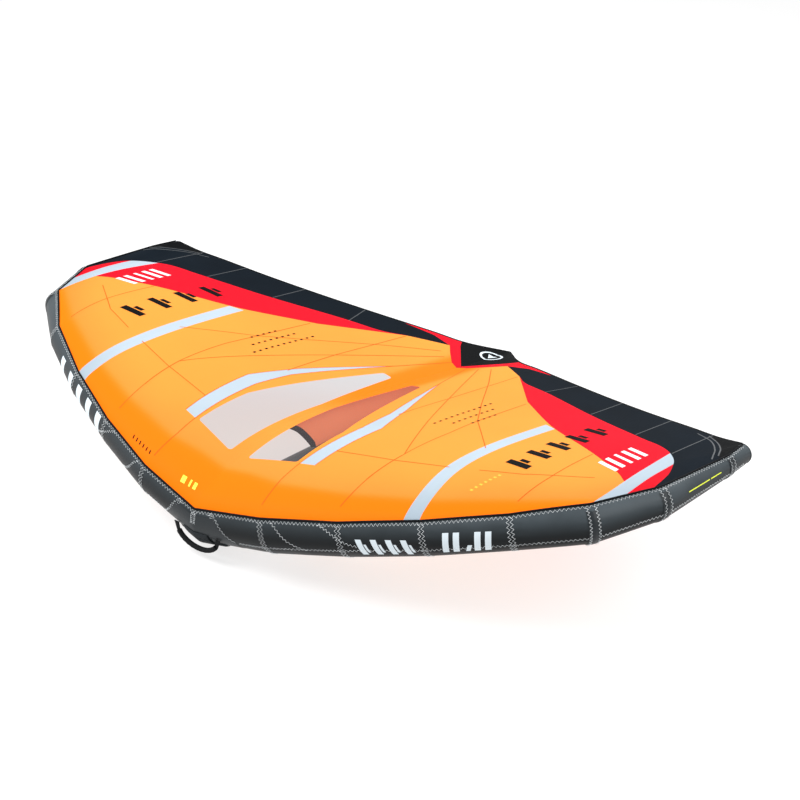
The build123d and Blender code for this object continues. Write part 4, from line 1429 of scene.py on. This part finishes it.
def fin():
    """Cloth web from the strut up to the canopy, with a dark hem on its front edge."""
    nu, nv = 70, 18
    front = smooth_line([(0, y, z) for y, z in reversed(FIN_FRONT)], 8)
    v = np.linspace(0, 1, nv)
    run = np.linspace(0, 1, len(front))
    front = np.column_stack([np.interp(v, run, front[:, j]) for j in range(3)])
    hem = front + (0, 24.7, 7.8)
    ys_top = np.linspace(hem[-1, 1], FIN_END, nu)
    ys_low = np.linspace(hem[0, 1], FIN_END, nu)
    top_z = lift_to_canopy([(0.02, y) for y in ys_top])[0][:, 2] - 2.5
    low_z = np.array([sum(strut_at(y)) + 0.6 for y in ys_low])
    top = np.column_stack([np.zeros(nu), ys_top, top_z])
    low = np.column_stack([np.zeros(nu), ys_low, low_z])
    hem[-1], hem[0] = top[0], low[0]
    rear = low[-1] + (top[-1] - low[-1]) * v[:, None]
    u = np.linspace(0, 1, nu)[:, None, None]
    w = v[None, :, None]
    grid = (1 - w) * low[:, None] + w * top[:, None] + (1 - u) * hem[None] + u * rear[None]
    grid -= (1 - u) * (1 - w) * low[0] + (1 - u) * w * top[0] + u * (1 - w) * low[-1] + u * w * top[-1]
    wave = 0.7 * np.sin(grid[..., 1] / 34) * np.sin(np.pi * v)[None, :]
    grid[..., 0] = wave * np.exp(-(grid[..., 1] - 500) / 500)
    b = Builder()
    b.grid(row(grid))
    ob = b.make("fin_web", "fin", slot="ripstop_red")
    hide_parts("fin_panel")
    stretched(ob)
    b = Builder()
    loop = []
    for s, x in ((0, 0.0), (0.06, 0.9), (0.5, 0.8), (1.0, 0.8), (1.04, 0.3)):
        loop.append(front + (hem - front) * s + (x, 0, 0))
    for s, x in ((1.04, -0.3), (1.0, -0.8), (0.5, -0.8), (0.06, -0.9)):
        loop.append(front + (hem - front) * s + (x, 0, 0))
    b.grid(row(np.stack(loop, axis=1)), closed=True)
    ob = b.make("fin_edge", "fin_hem", slot="ripstop_black")
    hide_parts("fin_hem")


strut_panels()
strut_stitches()
strut_end()
fin()


# ---------------------------------------------------------------- handles
def node_box(name):
    low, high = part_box(name)
    return np.array(low) * 1000 + ROW_ORIGIN, np.array(high) * 1000 + ROW_ORIGIN


# y of the grip's middle | length of the grip
HANDLES = {"front": (510, 170), "rear": (1015, 230)}


def base_patches():
    b, stitch = Builder(), Builder()
    spots = []
    for centre, length in HANDLES.values():
        for side in (-1, 1):
            spots.append((centre + side * (length / 2 - 5), 45, 40, 2.6))
    spots.append((300, 30, 30, 1.4))
    for y0, half, spread, thick in spots:
        rows = []
        for t in np.linspace(-1, 1, 21):
            wide = spread * (1 - max(0.0, abs(t) - 0.8) * 0.9)
            a = np.radians(np.linspace(-90 - wide, -90 + wide, 25))
            edge = min(1.0, (1 - abs(t)) * half / 3.0)
            sides = np.minimum(1, (1 - abs(np.linspace(-1, 1, 25))) * 12)
            grow = 0.7 + (thick - 0.3) * np.minimum(edge, sides)
            rows.append(strut_points(np.full(25, y0 + half * t), a, grow))
        b.grid(row(np.array(rows)))
        a = np.radians(np.linspace(-90 - spread * 0.85, -90 + spread * 0.85, 30))
        for t in (-0.86, 0.86):
            path = strut_points(np.full(30, y0 + half * t), a, thick + 0.5)
            zigzag_single(stitch, path, strut_outward(path, y0), 1.6, 6)
    ob = b.make("base_patches", "patch", slot="patch_black")
    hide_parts("handle_base_patches")
    stretched(ob)
    stitch.make("base_patch_stitches", "thread")


def superring(width, thick, n=28):
    """Flat rounded cross-section of a webbing strap."""
    a = np.linspace(0, 2 * np.pi, n, endpoint=False)
    c, s = np.cos(a), np.sin(a)
    return np.sign(c) * np.abs(c) ** 0.35 * width / 2, np.sign(s) * np.abs(s) ** 0.5 * thick / 2


def riser_straps(name, node, body, centre, length):
    low, high = node_box(node)
    top, bottom = high[2] - 2.0, low[2]
    b, stitch = Builder(), Builder()
    for side in (-1, 1):
        y, toe = centre + side * (length / 2 - 5), centre + side * (length / 2 - 22)
        rows = []
        for t in np.linspace(0, 1, 26):
            mid, width = y + (toe - y) * t, 40 + (18 - 40) * t
            across, thick = superring(width, 3.4)
            z = top + (bottom - top) * t
            rows.append(np.column_stack([thick, mid + across, np.full(28, z)]))
        b.grid(row(np.array(rows)), closed=True)
        ys = np.linspace(y - 19.6, y + 19.6, 12)
        b.rod(row([(0, v, top) for v in ys]), 0.0020, sides=14)
        for x, way in ((1.8, 1), (-1.8, -1)):
            for drop in (5, 12):
                run = np.linspace(y - 17, y + 17, 20)
                path = np.column_stack([np.full(20, x), run, np.full(20, top - drop)])
                zigzag_single(stitch, path, np.tile((way, 0, 0), (20, 1)), 1.4, 4, thread=0.45, lift=0.1)
    ob = b.make(name, "webbing", body=body, slot="webbing")
    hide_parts(node)
    stitch.make(f"{name}_stitches", "black_thread", body=body)


def foam_grip(name, node, body, centre, length):
    low, high = node_box(node)
    z = (low[2] + high[2]) / 2
    t = np.linspace(0, 1, 90)
    y = centre - length / 2 + length * t
    end = np.minimum(t, 1 - t) * length
    r = 14.9 - 0.35 * (1 + np.cos(2 * np.pi * (y - centre) / 24.0)) * (end > 16)
    r = r - 9 * (1 - np.sqrt(np.clip(1 - ((9 - np.minimum(end, 9)) / 9) ** 2, 0, 1)))
    b = Builder()
    b.rod(row(np.column_stack([np.zeros(90), y, np.full(90, z)])), r / 1000, sides=40)
    ob = b.make(name, "grip", body=body, slot="grip_foam")
    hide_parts(node)


def loop_handle():
    """Padded loop under the middle of the tube, hung from two webbing tabs."""
    y, z = 9, -99
    turn = math.asin(28 / 68)
    a = np.linspace(math.pi + turn, 2 * math.pi - turn, 110)
    path = np.column_stack([104 * np.cos(a), np.full(110, y), z + 68 * np.sin(a)])
    run = np.linspace(0, 1, 110)
    r = 9.8 - 0.25 * (1 + np.cos(run * 2 * np.pi * 11)) - 1.6 * np.exp(-np.minimum(run, 1 - run) * 60)
    b = Builder()
    b.rod(row(path), r / 1000, sides=28)
    seam = path + np.column_stack([-np.cos(a) * 6.8, np.full(110, 6.8), -np.sin(a) * 6.8])
    b.rod(row(seam), 0.0006, sides=6)
    x_low = 104 * math.cos(turn)
    for side in (-1, 1):
        rows = []
        for t in np.linspace(0, 1, 16):
            mid, width = 104 + (x_low - 104) * t, 22 + (18 - 22) * t
            across, thick = superring(width, 4.0)
            rows.append(np.column_stack([side * mid + across, y + thick, np.full(28, z - 31 * t)]))
        b.grid(row(np.array(rows)), closed=True)
        xs = np.linspace(side * 104 - 10.8, side * 104 + 10.8, 8)
        b.rod(row([(v, y, z) for v in xs]), 0.0025, sides=14)
    ob = b.make("front_loop", "webbing", body="loop_handle", slot="webbing")
    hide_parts("loop_handle")


def leash():
    low, high = node_box("leash_loop")
    top = high[2] - 2.2
    outline = rounded([(-15, 0), (15, 0), (11.25, -34), (-11.25, -34)], 6, 8)
    path = np.array([(x, 300, top + z) for x, z in outline])
    path = resample([*path, path[0]], 2.0)
    b = Builder()
    n = len(path) - 1
    a = np.linspace(0, 2 * np.pi, 14, endpoint=False)
    rows = []
    for i in range(n + 1):
        t = unit(path[(i + 1) % n] - path[(i - 1) % n])
        side = np.cross(t, (0, 1, 0))
        twist = 1 + 0.05 * np.cos(3 * a + i * 0.9)
        ring = np.cos(a)[:, None] * side + np.sin(a)[:, None] * np.array([0, 1, 0])
        rows.append(path[i % n] + 2.1 * twist[:, None] * ring)
    b.grid(row(np.array(rows)), closed=True)
    ob = b.make("leash_cord", "webbing", body="leash_loop", slot="webbing")
    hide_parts("leash_loop")


base_patches()
for end, place in HANDLES.items():
    riser_straps(f"{end}_risers", f"{end}_handle_straps", f"{end}_handle", *place)
for end, place in HANDLES.items():
    foam_grip(f"{end}_grip", f"{end}_handle_grip", f"{end}_handle", *place)
loop_handle()
leash()


# ---------------------------------------------------------------- bladders inside
def bladders():
    clocks = np.linspace(0, 360, 48, endpoint=False)
    rows = [tube_strip(u, u + 1e-6, clocks, -3.6, 1)[0] for u in np.linspace(0, 7.98, 120)]
    rows = np.array(rows)
    whole = np.concatenate([mirrored(rows[::-1])[:-1], rows])
    faces = grid_faces(len(whole), whole.shape[1], closed=True)
    points, faces = open_at_valve(whole.reshape(-1, 3), faces)
    ob = piece("edge_bladder", row(points), faces, "bladder", slot="bladder_film")
    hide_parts("le_bladder")
    a = np.linspace(0, 2 * np.pi, 48, endpoint=False)
    b = Builder()
    rows = [strut_points(np.full(48, y), a, -3.6) for y in np.linspace(232, 1638, 90)]
    b.grid(row(np.array(rows)), closed=True)
    ob = b.make("strut_inner_bladder", "bladder", slot="bladder_film")
    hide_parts("strut_bladder")


bladders()


# ---------------------------------------------------------------- carried-over CAD nodes
CARRIED = {
    "plastic": ["valve_base", "one_pump_ports", "hose_clip_base"],
    "accent": ["valve_insert", "valve_cap", "hose_clip_lever"],
    "hose": ["one_pump_hose", "valve_flap"],
}
for look, nodes in CARRIED.items():
    for node in nodes:
        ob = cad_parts[node]
        ob.data.materials.clear()
        ob.data.materials.append(M[look])


# ---------------------------------------------------------------- floor, light and camera
def stage():
    mat, nt = node_tree("Pale_floor")
    _, _, tone = tinted(nt, (0.28, 0.28, 0.28), 0.01, 1.0)
    base = principled(nt, tone, 0.9, specular=0.1)
    base.inputs["Emission Color"].default_value = (1, 1, 1, 1)
    base.inputs["Emission Strength"].default_value = 0.74
    finish_material(nt, base.outputs[0])
    me = bpy.data.meshes.new("floor")
    z, s = -0.0175, 60
    me.from_pydata([(-s, -s, z), (s, -s, z), (s, s, z), (-s, s, z)], [], [(0, 1, 2, 3)])
    ob = bpy.data.objects.new("floor", me)
    bpy.context.collection.objects.link(ob)
    me.materials.append(mat)
    world = bpy.data.worlds.new("Studio")
    bpy.context.scene.world = world
    world.use_nodes = True
    world.node_tree.nodes["Background"].inputs["Color"].default_value = (1, 1, 1, 1)
    world.node_tree.nodes["Background"].inputs["Strength"].default_value = 0.72
    for name, where, size, power in (
        ("key", (-3.0, -3.5, 5.0), 4.0, 420),
        ("fill", (4.5, 0.5, 4.0), 4.0, 160),
        ("rear", (0.0, 5.0, 4.5), 4.0, 220),
    ):
        data = bpy.data.lights.new(name, "AREA")
        data.shape = "DISK"
        data.size = size
        data.energy = power
        lamp = bpy.data.objects.new(name, data)
        bpy.context.collection.objects.link(lamp)
        lamp.location = where
        lamp.rotation_euler = (Vector((0, 0, 0.1)) - Vector(where)).to_track_quat("-Z", "Y").to_euler()


def camera():
    data = bpy.data.cameras.new("camera")
    data.lens = 81.0
    data.sensor_width = 36.0
    data.clip_end = 200.0
    cam = bpy.data.objects.new("camera", data)
    bpy.context.collection.objects.link(cam)
    forward = unit((-0.567, 0.701, -0.433))
    right = unit(np.array((0.767, 0.641, 0.032)))
    right = unit(right - forward * np.dot(right, forward))
    up = np.cross(right, forward)
    place = row((4062, -3888, 3131))
    cam.matrix_world = Matrix(
        (
            (right[0], up[0], -forward[0], place[0]),
            (right[1], up[1], -forward[1], place[1]),
            (right[2], up[2], -forward[2], place[2]),
            (0, 0, 0, 1),
        )
    )
    bpy.context.scene.camera = cam


stage()
camera()
bpy.context.scene.view_settings.view_transform = "Standard"
